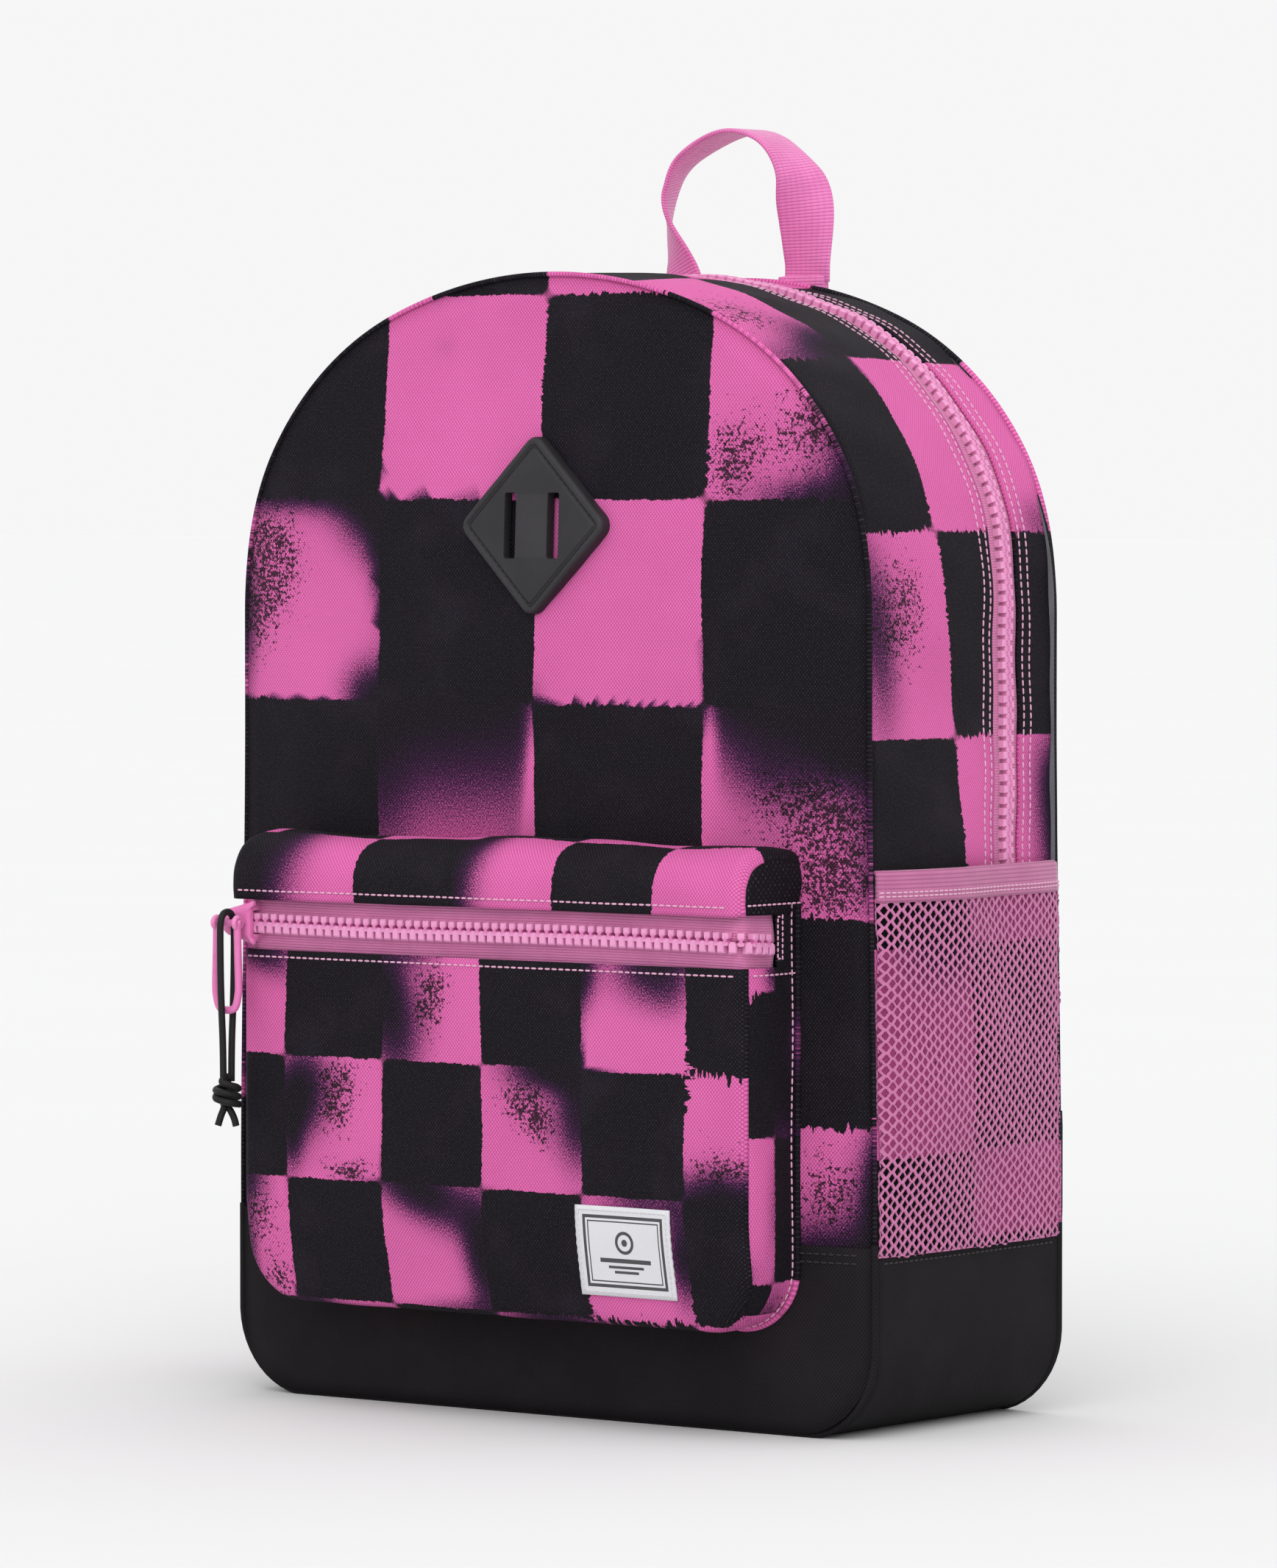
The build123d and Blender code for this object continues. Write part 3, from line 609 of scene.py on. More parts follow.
def skin(s, y, lift=0.0):
    """Point on the side and top walls at a distance along the outline and a depth."""
    x, z, nx, nz = edge(s)
    crown = 1.6 * math.sin(math.pi * min(max((y - SEAM_Y) / (ZIP_FRONT - SEAM_Y), 0), 1))
    fade = ease(abs(s), RUN_SIDE + 10, RUN_SIDE - 60)
    ripple = 0.35 * math.sin(s * 0.071 + y * 0.05) + 0.25 * math.sin(s * 0.19 - y * 0.09 + 1.3)
    out = lift - taper(z) + (crown + ripple) * fade - 0.4
    return (x + nx * out, y, max(z + nz * out, 0.0))


def bulge(depth, z):
    """How far the front panel stands ahead of its seam, by the distance from its edge."""
    return 10.0 * (1 - math.exp(-depth / 50.0)) * (1 - 0.4 * ease(z, 250, 420))


def front_depth(x, z):
    """y of the front panel at a place, from the distance to its outline."""
    inside = TOP_R - math.hypot(x, z - TOP_Z) if z > TOP_Z else HALF
    if z > SHOULDER_Z and abs(x) > SHOULDER_X:
        inside = min(inside, SHOULDER_R - math.hypot(abs(x) - SHOULDER_X, z - SHOULDER_Z))
    else:
        inside = min(inside, HALF - abs(x), z + 8.0)
    return SEAM_Y - 0.6 - bulge(max(inside, 0.0), z)


# ---- sprayed shades of the print ----------------------------------------------------------------
def spray_field(cloth, cell, strokes):
    """Smooth shade, speckle and raggedness at places on the cloth, from soft oval strokes.

    strokes maps a pink cell (column, row) to its strokes: (kind, u, v, half width, half height, turn
    in degrees, strength), measured from the cell's middle in halves of a cell. A stroke also runs on
    into the black cells beside its own, where the ink hides it.
    """
    places = np.asarray(cloth, float).reshape(-1, 2) / cell
    index = np.floor(places)
    field = np.zeros((len(places), 3))
    channels = {"shade": 0, "speckle": 1, "ragged": 2}
    for (column, row), marks in strokes.items():
        near = np.abs(index[:, 0] - column) + np.abs(index[:, 1] - row) <= 1
        local = (places - (column + 0.5, row + 0.5)) * 2
        for kind, u, v, wide, high, turn, strength in marks:
            angle = math.radians(turn)
            du = local[:, 0] - u
            dv = local[:, 1] - v
            a = (du * math.cos(angle) + dv * math.sin(angle)) / wide
            b = (-du * math.sin(angle) + dv * math.cos(angle)) / high
            field[:, channels[kind]] += near * strength * np.exp(-np.hypot(a, b) ** 1.8)
    return np.clip(field, 0, 1)


# Where the print lies: heights, depths and runs that fall on a corner of a black cell.
FRONT_RISE = 113.0            # added to a height on the front
WALL_START = -17.0            # depth
WALL_RUN = run_at(251.0) - 9 * LARGE

# Strokes on the front panel.
FRONT_STROKES = {
    (-2, 5): [("shade", 0.95, 0.95, 0.62, 0.50, -35, 1.0), ("shade", -0.2, 1.10, 1.2, 0.20, 0, 0.9),
              ("speckle", -0.72, 0.10, 0.45, 0.95, 0, 1.0), ("speckle", -0.30, 0.45, 0.45, 0.60, 0, 0.75),
              ("shade", -1.02, -0.15, 0.26, 0.75, 0, 0.9), ("shade", 0.95, -1.0, 0.38, 0.42, 45, 1.0),
              ("shade", 1.05, 0.3, 0.16, 0.6, 0, 0.6), ("ragged", -0.3, 1.0, 0.9, 0.3, 0, 0.35),
              ("ragged", -0.8, -1.0, 0.4, 0.4, 0, 0.4)],
    (-1, 4): [("shade", -0.2, 1.45, 4.0, 1.50, 0, 1.2), ("shade", -0.95, 0.1, 0.35, 0.9, 0, 0.22),
              ("shade", 1.0, 0.0, 0.12, 1.3, 0, -0.8)],
    (-1, 6): [("shade", -0.25, 0.5, 0.22, 0.10, 0, 0.16), ("ragged", 1.0, 0.25, 0.2, 0.5, 0, 0.22),
              ("ragged", -1.0, -0.8, 0.2, 0.25, 0, 0.25), ("ragged", 0.0, -1.0, 0.9, 0.12, 0, 0.12)],
    (0, 5): [("ragged", 0.0, -1.0, 1.1, 0.2, 0, 0.20), ("shade", -1.0, -0.9, 0.18, 0.22, 0, 0.3)],
    (0, 7): [("ragged", 0.2, -1.0, 1.2, 0.3, 0, 0.20), ("speckle", 0.7, -0.9, 0.5, 0.4, 0, 0.5)],
    (1, 6): [("speckle", 0.25, -0.35, 0.85, 0.55, 12, 0.85), ("speckle", -0.75, -0.65, 0.35, 0.45, 0, 0.95),
             ("speckle", 0.45, 0.25, 0.5, 0.6, 0, 0.55), ("shade", 0.95, -0.65, 0.55, 0.6, 20, 0.9),
             ("shade", 0.95, 0.2, 0.30, 0.8, 0, 0.45), ("shade", 0.2, -1.05, 0.7, 0.22, 0, 0.8),
             ("ragged", -1.0, -0.6, 0.2, 0.5, 0, 0.25), ("ragged", 0.2, -1.0, 1.0, 0.2, 0, 0.2)],
    (1, 4): [("shade", 0.15, 1.20, 3.0, 0.60, 0, 1.1), ("shade", 0.75, 0.70, 0.40, 0.35, 0, 0.8),
             ("shade", -0.15, 0.45, 0.75, 0.5, 0, 0.40), ("shade", -1.0, 0.6, 0.14, 0.8, 0, -0.8),
             ("speckle", 0.55, 0.0, 0.62, 0.75, 0, 0.95), ("speckle", -0.25, 0.15, 0.6, 0.5, 0, 0.62),
             ("speckle", 0.45, -0.75, 0.7, 0.4, 0, 0.85),
             ("shade", 0.95, -0.2, 0.25, 0.9, 0, 0.5), ("ragged", 0.25, 0.55, 0.3, 0.4, 0, 0.3),
             ("ragged", 0.2, -1.0, 1.0, 0.25, 0, 0.35)],
    (1, 2): [("ragged", 0.45, 1.0, 0.8, 0.4, 0, 0.6), ("speckle", 0.45, 0.35, 0.55, 0.6, 0, 0.95),
             ("shade", 0.95, 0.4, 0.22, 0.7, 0, 0.9), ("shade", 0.5, -0.35, 1.0, 0.42, 0, 1.0)],
    (-2, 3): [("shade", -0.6, -0.3, 0.7, 0.8, 0, 0.9)],
    (-1, 2): [("shade", 0.0, -0.3, 1.4, 0.3, 0, 0.9)],
}


def make_front():
    """Domed front panel, printed above the boot's seam. The boot's own sheet lies 0.7 mm ahead."""
    columns = 288
    rings = 30
    printed = []
    for x, z, share in outline_rings(1.2, rings, columns, 1):
        ripple = 0.7 * math.sin(x * 0.05 + z * 0.043) + 0.5 * math.sin(x * 0.031 - z * 0.08 + 2.0)
        printed.append((x, front_depth(x, z) + ripple * ease(share, 0.03, 0.25), z))
    cloth = [(x, z + FRONT_RISE) for x, y, z in printed]
    spray = spray_field(cloth, LARGE, FRONT_STROKES)
    plain = [(x, y - 0.7, z) for x, y, z in printed]
    faces = grid_faces(rings + 1, columns, True)
    for name, points, materials, level, removed, slot, nodes in (
            ("front_panel", printed, PRINTED, BOOT_TOP - 3, -1, "printed_fabric",
             ["front_panel_lower", "front_panel_upper"]),
            ("boot_front_panel", plain, PLAIN, BOOT_TOP + 1.5, 1, "black_fabric", ["boot_front"])):
        sheet = piece(name, points, faces, materials, cloth, spray)
        weld(sheet, 0.2)
        cut(sheet, (0, 0, level), (0, 0, removed))
        face_away(sheet, (0, 40, 200))
        thicken(sheet, 1.3, True)
        finish_folding(sheet, nodes, materials is PRINTED)


def strip_piece(name, runs, depths, materials, lift=0.0, thick=1.3):
    """Part of the side and top walls between two distances along the outline and two depths."""
    printed = materials is PRINTED
    start, row, strokes = (WALL_START, WALL_RUN, SIDE_STROKES) if printed else (0, 0, {})
    run_steps = max(2, int(abs(runs[1] - runs[0]) / 4.0))
    depth_steps = max(2, int(abs(depths[1] - depths[0]) / 4.0))
    points = []
    cloth = []
    for i in range(run_steps + 1):
        s = runs[0] + (runs[1] - runs[0]) * i / run_steps
        for j in range(depth_steps + 1):
            y = depths[0] + (depths[1] - depths[0]) * j / depth_steps
            points.append(skin(s, y, lift))
            askew = 0.13 * min(max(abs(s) - 185.0, 0.0), 150.0)
            cloth.append((y - start - askew, abs(s) - row))
    spray = spray_field(cloth, LARGE, strokes)
    strip = piece(name, points, grid_faces(run_steps + 1, depth_steps + 1), materials, cloth, spray)
    face_away(strip, (0, (depths[0] + depths[1]) / 2, 200))
    return thicken(strip, thick, len(materials) > 1)


# Strokes on the side and top walls: columns run to the rear, rows run down.
SIDE_STROKES = {
    (-1, 8): [("speckle", 0.05, -0.1, 0.42, 0.9, 0, 0.85), ("speckle", 0.5, -0.35, 0.3, 0.6, 0, 0.6),
              ("shade", -0.15, 0.0, 0.30, 1.1, 0, 0.55), ("ragged", 0.4, -1.0, 0.7, 0.3, 0, 0.35),
              ("ragged", 1.0, -0.2, 0.2, 0.7, 0, 0.2)],
    (-1, 6): [("speckle", 0.25, 0.15, 0.75, 0.6, 0, 0.85), ("shade", 0.95, 0.85, 0.5, 0.5, 0, 0.8),
              ("shade", 0.2, 1.0, 0.8, 0.3, 0, 0.4), ("ragged", 0.4, 1.0, 0.8, 0.3, 0, 0.3)],
    (-1, 10): [("shade", 0.6, -1.0, 0.8, 0.4, 0, 0.8), ("speckle", 0.3, 0.2, 0.6, 0.6, 0, 0.6)],
    (0, 7): [("ragged", 0.3, 1.0, 0.9, 0.5, 0, 0.55), ("shade", 0.85, 0.9, 0.4, 0.3, 0, 0.4)],
    (0, 9): [("shade", 0.75, 0.15, 0.42, 1.0, 0, 0.85), ("shade", 0.9, -0.5, 0.5, 0.5, 0, 0.5),
             ("ragged", -1.0, 0.3, 0.2, 0.7, 0, 0.3), ("ragged", -0.4, -1.0, 0.7, 0.3, 0, 0.25)],
    (0, 11): [("shade", 0.4, 0.7, 1.2, 0.6, 0, 0.9), ("speckle", -0.3, 0.0, 0.6, 0.6, 0, 0.7)],
}


def make_walls():
    zip_run = run_at(ZIP_END)
    boot_run = run_at(BOOT_TOP)
    whole = (SEAM_Y, REAR)
    front = strip_piece("gusset_front_strip", (-zip_run, zip_run), (SEAM_Y, ZIP_FRONT + 0.8), PRINTED)
    finish_folding(front, ["gusset_front_left", "gusset_front_right", "gusset_front_upper"])
    rear = strip_piece("gusset_rear_strip", (-zip_run, zip_run), (ZIP_REAR - 0.8, REAR), PRINTED)
    finish_piece(rear, ["gusset_rear"])
    for side, sign in SIDES:
        wall = strip_piece("side_wall_" + side, (sign * zip_run, sign * (boot_run + 3)), whole, PRINTED)
        finish_piece(wall, ["side_panel_" + side])
        runs = (sign * (boot_run - 1.5), sign * (RUN_CORNER - 1))
        boot = strip_piece("boot_wall_" + side, runs, whole, PLAIN, 0.7)
        finish_piece(boot, ["boot_side_" + side])
    base = strip_piece("boot_floor", (RUN_CORNER - 2, 2 * RUN_ALL - RUN_CORNER + 2), whole, PLAIN)
    finish_piece(base, ["boot_base"])


# ---- lines along the bag: seams, stitches, teeth -----------------------------------------------
def tube(name, places, radius, material, sides=8, closed=False, flat=None, cell=1.0, strokes=None):
    """Round tube through places in millimetres. flat gives each place its (u, v) on the print."""
    places = [Vector(p) for p in places]
    count = len(places)
    points = []
    cloth = []
    run = 0.0
    for i, here in enumerate(places):
        before = places[(i - 1) % count] if closed or i else here
        after = places[(i + 1) % count] if closed or i < count - 1 else here
        along = (after - before).normalized()
        side = along.cross(Vector((0, 1, 0)))
        if side.length < 0.05:
            side = along.cross(Vector((1, 0, 0)))
        side.normalize()
        up = side.cross(along).normalized()
        run += (here - before).length if i else 0.0
        for k in range(sides):
            angle = 2 * math.pi * k / sides
            points.append(here + (side * math.cos(angle) + up * math.sin(angle)) * radius)
            cloth.append(flat[i] if flat else (run, radius * angle))
    total = count * sides
    if closed:
        faces = [tuple(k % total for k in face) for face in grid_faces(count + 1, sides, True)]
    else:
        faces = prism_faces(count, sides)
    spray = spray_field(cloth, cell, strokes) if strokes else None
    return outward(piece(name, [tuple(p) for p in points], faces, (material,), cloth, spray))


def stamp(name, shape, transforms, materials, smooth=True):
    """Copies of a small shape (points, faces) at each 4 by 4 transform, in one mesh."""
    base = np.array(shape[0], float)
    count = len(base)
    stacked = np.concatenate([base, np.ones((count, 1))], axis=1)
    points = np.concatenate([(stacked @ np.array(t).T)[:, :3] for t in transforms])
    faces = [tuple(i + n * count for i in face) for n in range(len(transforms)) for face in shape[1]]
    return piece(name, points, faces, materials, smooth=smooth)


def basis(origin, along, out):
    """Transform whose X is along, Z outwards, Y across, at an origin."""
    x = Vector(along).normalized()
    z = (Vector(out) - x * Vector(out).dot(x)).normalized()
    y = z.cross(x)
    return Matrix(((x.x, y.x, z.x, origin[0]), (x.y, y.y, z.y, origin[1]), (x.z, y.z, z.z, origin[2]),
                   (0, 0, 0, 1)))


def stitch_shape(length, width=0.36, height=0.32):
    """One stitch: a long hexagonal bead, thinner at its ends."""
    points = []
    for x, scale in ((-0.5, 0.35), (-0.3, 1.0), (0.3, 1.0), (0.5, 0.35)):
        for k in range(6):
            angle = math.pi * k / 3
            points.append((x * length, width * scale * math.cos(angle), height * scale * math.sin(angle)))
    return points, prism_faces(4, 6)


def stitch_line(places, pitch=3.0):
    """Transforms of stitches along (place, outward) pairs."""
    transforms = []
    travelled = 0.0
    due = pitch / 2
    for (p0, n0), (p1, n1) in zip(places, places[1:]):
        a, b = Vector(p0), Vector(p1)
        length = (b - a).length
        while length > 0 and travelled + length >= due:
            t = (due - travelled) / length
            transforms.append(basis(a.lerp(b, t), b - a, Vector(n0).lerp(Vector(n1), t)))
            due += pitch
        travelled += length
    return transforms


def wall_pair(s, y, lift):
    """A place on the walls, and its outward direction."""
    _, _, nx, nz = edge(s)
    return skin(s, y, lift), (nx, 0, nz)


def box_line(a0, b0, a1, b1):
    """The corners of a rectangle, ending where they start."""
    return [(a0, b0), (a0, b1), (a1, b1), (a1, b0), (a0, b0)]


STITCH = stitch_shape(2.3)


def make_seams():
    """Folded seams of the front panel and of the back, in the walls' own fabric."""
    total = int(2 * RUN_ALL / 4)
    for name, y, radius, front, nodes in (
            ("front_seam", SEAM_Y - 0.9, 0.9, True, ["seam_front_lower", "seam_front_upper"]),
            ("rear_seam", REAR + 0.6, 1.3, False, ["seam_rear"])):
        places = []
        for i in range(total):
            s = (i / total * 2 - 1) * RUN_ALL
            x, z, nx, nz = edge(s)
            inset = radius * 0.5 + taper(z)
            place = (x - nx * inset, y, max(z - nz * inset, radius))
            places.append((place, (x, z + FRONT_RISE) if front else (y + 2.0, abs(s) - WALL_RUN)))
        # The printed length ends at the boot's seam on both sides. The boot's length shares its end points.
        start = [place[2] > BOOT_TOP for place, _ in places].index(True)
        order = places[start:] + places[:start]
        high = [entry for entry in order if entry[0][2] > BOOT_TOP]
        low = order[len(high) - 1:] + order[:1]
        seam = tube(name, [place for place, _ in high], radius, PRINT, flat=[flat for _, flat in high],
                    cell=LARGE, strokes=FRONT_STROKES if front else SIDE_STROKES)
        finish_folding(seam, nodes, front)
        finish_piece(tube(name + "_boot", [place for place, _ in low], radius + 0.4, BOOT))


def make_wall_stitches():
    zip_run = run_at(ZIP_END)
    runs = np.linspace(-zip_run, zip_run, int(2 * zip_run / 4) + 1)
    for name, depths, fold in (("gusset_stitches_front", (ZIP_FRONT - 1.6, ZIP_FRONT - 6.0), True),
                               ("gusset_stitches_rear", (ZIP_REAR + 1.6, ZIP_REAR + 6.0), False)):
        transforms = []
        for y in depths:
            transforms += stitch_line([wall_pair(s, y, 0.15) for s in runs])
        finish_folding(stamp(name, STITCH, transforms, (THREAD_PINK,)), fold=fold)
    transforms = []
    for level in (BOOT_TOP - 1.2, BOOT_TOP - 4.2):
        for sign in (-1, 1):
            transforms += stitch_line([wall_pair(sign * run_at(level), y, 0.85)
                                       for y in np.arange(SEAM_Y + 3, REAR - 2, 3.0)])
        transforms += stitch_line([((x, front_depth(x, level) - 0.85, level), (0, -1, 0))
                                   for x in np.arange(-HALF + 6, HALF - 5, 3.0)])
    finish_piece(stamp("boot_stitches", STITCH, transforms, (THREAD_BLACK,)))


TOOTH_BODY = 2.8
TOOTH_THICK = 3.2


def tooth(half, squash):
    """Moulded tooth from the right half of its outline, X along the zip and Y to the other row.

    Its flat faces are a little smaller. squash is how much of that its head takes part in.
    """
    outline = half + [(-x, y) for x, y in half[::-1]]
    points = []
    for level, shrink in ((-0.5, 0.84), (-0.36, 1.0), (0.36, 1.0), (0.5, 0.80)):
        head = 1 - squash + shrink * squash
        points += [(x * shrink, y * (shrink if y < 0 else head), level * TOOTH_THICK) for x, y in outline]
    return points, prism_faces(4, len(outline))


def round_tooth(pitch):
    """A block on the tape, a neck and a round head."""
    half = ((0.33, -1.0), (0.33, -0.30), (0.17, -0.05), (0.17, 0.10), (0.34, 0.30), (0.34, 0.52),
            (0.17, 0.72))
    return tooth([(pitch * x, TOOTH_BODY * y) for x, y in half], 0.5)


def block_tooth(pitch):
    """A block with a pointed head."""
    return tooth([(pitch * x, TOOTH_BODY * y) for x, y in ((0.36, -1.0), (0.36, 0.12), (0.162, 0.5))], 1.0)


def make_main_zip():
    zip_run = run_at(ZIP_END - 4)
    pitch = 4.1
    for side, sign, outer, ends in (("front", -1, ZIP_FRONT - 2, ("front_lower", "front_upper")),
                                    ("rear", 1, ZIP_REAR + 2, ("rear",))):
        depths = (ZIP_Y + sign * 0.9, outer)
        tape = strip_piece("main_tape_" + side, (-zip_run, zip_run), depths, (TAPE,), -1.3, 0.8)
        finish_folding(tape, ["main_tape_" + end for end in ends], sign < 0)
        transforms = []
        for i in range(int(2 * zip_run / pitch)):
            s = -zip_run + (i + (0.5 if sign > 0 else 0.0)) * pitch
            before, here, after = [Vector(skin(s + step, ZIP_Y + sign * 0.5, -0.2)) for step in (-1, 0, 1)]
            out = wall_pair(s, ZIP_Y, 0)[1]
            tooth_place = basis(here, after - before, out)
            if tooth_place.col[1].y * sign > 0:
                tooth_place = basis(here, before - after, out)
            transforms.append(tooth_place)
        teeth = stamp("main_teeth_" + side, round_tooth(pitch), transforms, (TEETH,), smooth=False)
        finish_folding(teeth, ["main_teeth_" + end for end in ends], sign < 0)


# ---- general sheets, tubes and ribbons ----------------------------------------------------------
def surface(name, place, a_values, b_values, materials, cloth, strokes, inside=(0, 20, 150), thick=1.3):
    """Sheet from a function of two numbers. cloth gives the place on the cloth, in millimetres."""
    points = []
    flat = []
    for a in a_values:
        for b in b_values:
            p = place(a, b)
            points.append(p)
            flat.append(cloth(a, b, p))
    faces = grid_faces(len(a_values), len(b_values))
    sheet = piece(name, points, faces, materials, flat, spray_field(flat, SMALL, strokes))
    face_away(sheet, inside)
    return thicken(sheet, thick, len(materials) > 1) if thick else sheet


def spread(low, high, step):
    """Even numbers from low to high, about a step apart."""
    return np.linspace(low, high, max(2, int(round(abs(high - low) / step)) + 1))


def crowd(half, count, power=1.7):
    """Numbers from -half to half, closer together at both ends."""
    t = np.linspace(-1, 1, count)
    return half * np.sign(t) * (1 - (1 - np.abs(t)) ** power)


def smooth_path(points, count):
    """Catmull-Rom curve through a few points."""
    path = [Vector(p) for p in points]
    path = [path[0] * 2 - path[1]] + path + [path[-1] * 2 - path[-2]]
    spans = len(path) - 3
    result = []
    for i in range(count):
        t = i / (count - 1) * spans
        k = min(int(t), spans - 1)
        t -= k
        a, b, c, d = path[k:k + 4]
        result.append(0.5 * (2 * b + (c - a) * t + (2 * a - 5 * b + 4 * c - d) * t * t
                             + (3 * b - a - 3 * c + d) * t ** 3))
    return result


def ribbon(name, places, across, width, thick, material):
    """Flat webbing with rounded edges, along places, its width along the across directions."""
    upper = [(-0.485, 0.36), (-0.44, 0.5), (-0.2, 0.5), (0.2, 0.5), (0.44, 0.5), (0.485, 0.36)]
    section = [(-0.5, 0.0)] + upper + [(0.5, 0.0)] + [(w, -h) for w, h in upper[::-1]]
    points = []
    cloth = []
    run = 0.0
    for i, here in enumerate(places):
        along = (places[min(i + 1, len(places) - 1)] - places[max(i - 1, 0)]).normalized()
        wide = (Vector(across[i]) - along * Vector(across[i]).dot(along)).normalized()
        out = wide.cross(along)
        run += (here - places[i - 1]).length if i else 0.0
        for w, t in section:
            points.append(tuple(here + wide * w * width + out * t * thick))
            cloth.append((w * width, run))
    return outward(piece(name, points, prism_faces(len(places), len(section)), (material,), cloth))


def soft_block(name, low, high, radius, material):
    """Small sewn or padded block with rounded edges."""
    centre = (Vector(low) + Vector(high)) / 2
    half = (Vector(high) - Vector(low)) / 2
    mesh = bmesh.new()
    bmesh.ops.create_cube(mesh, size=2.0)
    bmesh.ops.subdivide_edges(mesh, edges=mesh.edges, cuts=6, use_grid_fill=True)
    for vertex in mesh.verts:
        p = Vector([half[k] * vertex.co[k] for k in range(3)])
        core = Vector([max(-half[k] + radius, min(half[k] - radius, p[k])) for k in range(3)])
        away = p - core
        if away.length > 0:
            p = core + away.normalized() * radius
        vertex.co = (p + centre) * MM
    data = bpy.data.meshes.new(name)
    mesh.to_mesh(data)
    mesh.free()
    data.polygons.foreach_set("use_smooth", [True] * len(data.polygons))
    obj = new_object(name, data, material)
    places = np.array([vertex.co[:] for vertex in data.vertices]) / MM
    set_vectors(data, "cloth", places[:, [0, 2, 1]])
    return obj


# ---- front pocket -------------------------------------------------------------------------------
POCKET_HALF = POCKET_HIGH[0]
POCKET_FRONT = POCKET_LOW[1]
POCKET_FLOOR = POCKET_LOW[2]
MOUTH_LOW = POCKET_HIGH[2]
MOUTH_HIGH = box_mm("pocket_hood")[0][2]
POCKET_R = 22.0
POCKET_FLAT = POCKET_HALF - POCKET_R
POCKET_TURN = POCKET_FLAT + POCKET_R * math.pi / 2
POCKET_STROKES = {
    (-3, 0): [("shade", 0.3, 0.85, 0.9, 0.42, -25, 1.0)],
    (-1, 0): [("shade", -0.95, 0.0, 0.55, 1.4, 14, 1.0), ("shade", -0.3, 0.95, 0.5, 0.35, 0, 0.6),
              ("speckle", -0.15, -0.15, 0.42, 0.8, 0, 0.95), ("speckle", 0.2, 0.3, 0.35, 0.5, 0, 0.55)],
    (1, 0): [("shade", 0.50, 0.90, 0.9, 0.62, 22, 1.0), ("shade", -1.05, 0.5, 0.30, 0.7, -10, 0.9),
             ("shade", 0.7, 0.2, 0.5, 0.4, 0, 0.25)],
    (-2, -1): [("shade", -0.75, 0.35, 0.55, 0.8, -15, 1.0), ("speckle", 0.0, 0.15, 0.6, 0.6, 0, 0.95),
               ("speckle", 0.35, -0.85, 0.7, 0.25, 0, 1.0), ("speckle", 0.1, 0.75, 0.6, 0.35, 0, 0.7),
               ("shade", -0.9, -0.4, 0.25, 0.6, 0, 0.5)],
    (0, -1): [("shade", 0.45, 1.0, 0.95, 0.34, 0, 1.0), ("speckle", -0.2, 0.45, 0.6, 0.55, 0, 1.0),
              ("shade", 1.0, 0.3, 0.5, 0.95, 0, 0.85), ("speckle", 0.25, 0.0, 0.45, 0.5, 0, 0.7)],
    (2, -1): [("ragged", -0.4, 1.0, 0.9, 0.5, 0, 0.8), ("speckle", -0.35, -0.5, 0.8, 0.45, 0, 0.95),
              ("shade", -0.3, -1.0, 1.1, 0.42, 0, 1.0)],
    (-3, -2): [("speckle", 0.35, 0.35, 0.65, 0.7, 0, 0.95), ("shade", 0.1, 1.0, 0.5, 0.45, 0, 0.7),
               ("speckle", 0.7, -0.75, 0.5, 0.4, 0, 0.9), ("shade", 0.1, -0.2, 0.2, 0.8, 0, 0.5)],
    (-1, -2): [("shade", -0.25, 0.95, 1.25, 0.5, -24, 1.0), ("shade", 0.95, -0.2, 0.36, 1.0, 0, 0.9),
               ("shade", 0.3, -1.0, 0.8, 0.2, 0, 0.4)],
    (1, -2): [("ragged", -0.2, -1.0, 1.1, 0.5, 0, 0.85), ("shade", 0.95, 0.1, 0.32, 0.8, 0, 0.9),
              ("shade", 0.2, 0.95, 1.0, 0.3, 0, 0.6)],
    (-2, -3): [("shade", -0.8, 0.8, 0.6, 0.5, 0, 0.9), ("shade", 0.8, 0.3, 0.4, 0.5, 0, 0.4)],
    (0, -3): [("shade", 0.25, 0.7, 1.1, 0.7, 0, 0.9)],
    (2, -3): [("speckle", -0.2, 0.6, 0.8, 0.8, 0, 0.8)],
}
GUSSET_STROKES = {
    (-1, 0): [("shade", 1.0, 0.0, 0.25, 0.9, 0, 0.35), ("shade", 0.2, -0.9, 0.5, 0.3, 0, 0.4)],
    (-1, 2): [("ragged", 0.5, -1.0, 0.7, 0.4, 0, 0.8), ("shade", 1.0, -0.7, 0.3, 0.4, 0, 0.7)],
    (0, 1): [("shade", -1.0, 0.1, 0.36, 1.6, 0, 1.0), ("shade", -0.35, -0.6, 0.35, 0.6, 0, 0.9),
             ("shade", -0.4, 1.0, 0.6, 0.4, 0, 1.0), ("shade", -0.5, 0.1, 0.5, 1.0, 0, 0.4)],
    (0, -1): [("speckle", -0.6, 0.2, 0.5, 0.8, 0, 0.95), ("shade", -0.9, 0.0, 0.25, 0.9, 0, 0.6)],
    (-1, -2): [("shade", 0.6, 0.0, 0.7, 0.8, 0, 0.8)],
}
HOOD_STROKES = {
    (-1, 0): [("shade", -1.05, 0.0, 0.85, 4.0, -12, 1.0)],
    (1, 0): [("shade", -1.15, 0.0, 0.62, 4.0, -10, 1.0), ("ragged", 0.0, 1.0, 1.0, 0.2, 0, 0.15)],
    (3, 0): [("ragged", 0.0, 1.0, 1.0, 0.2, 0, 0.2)],
}


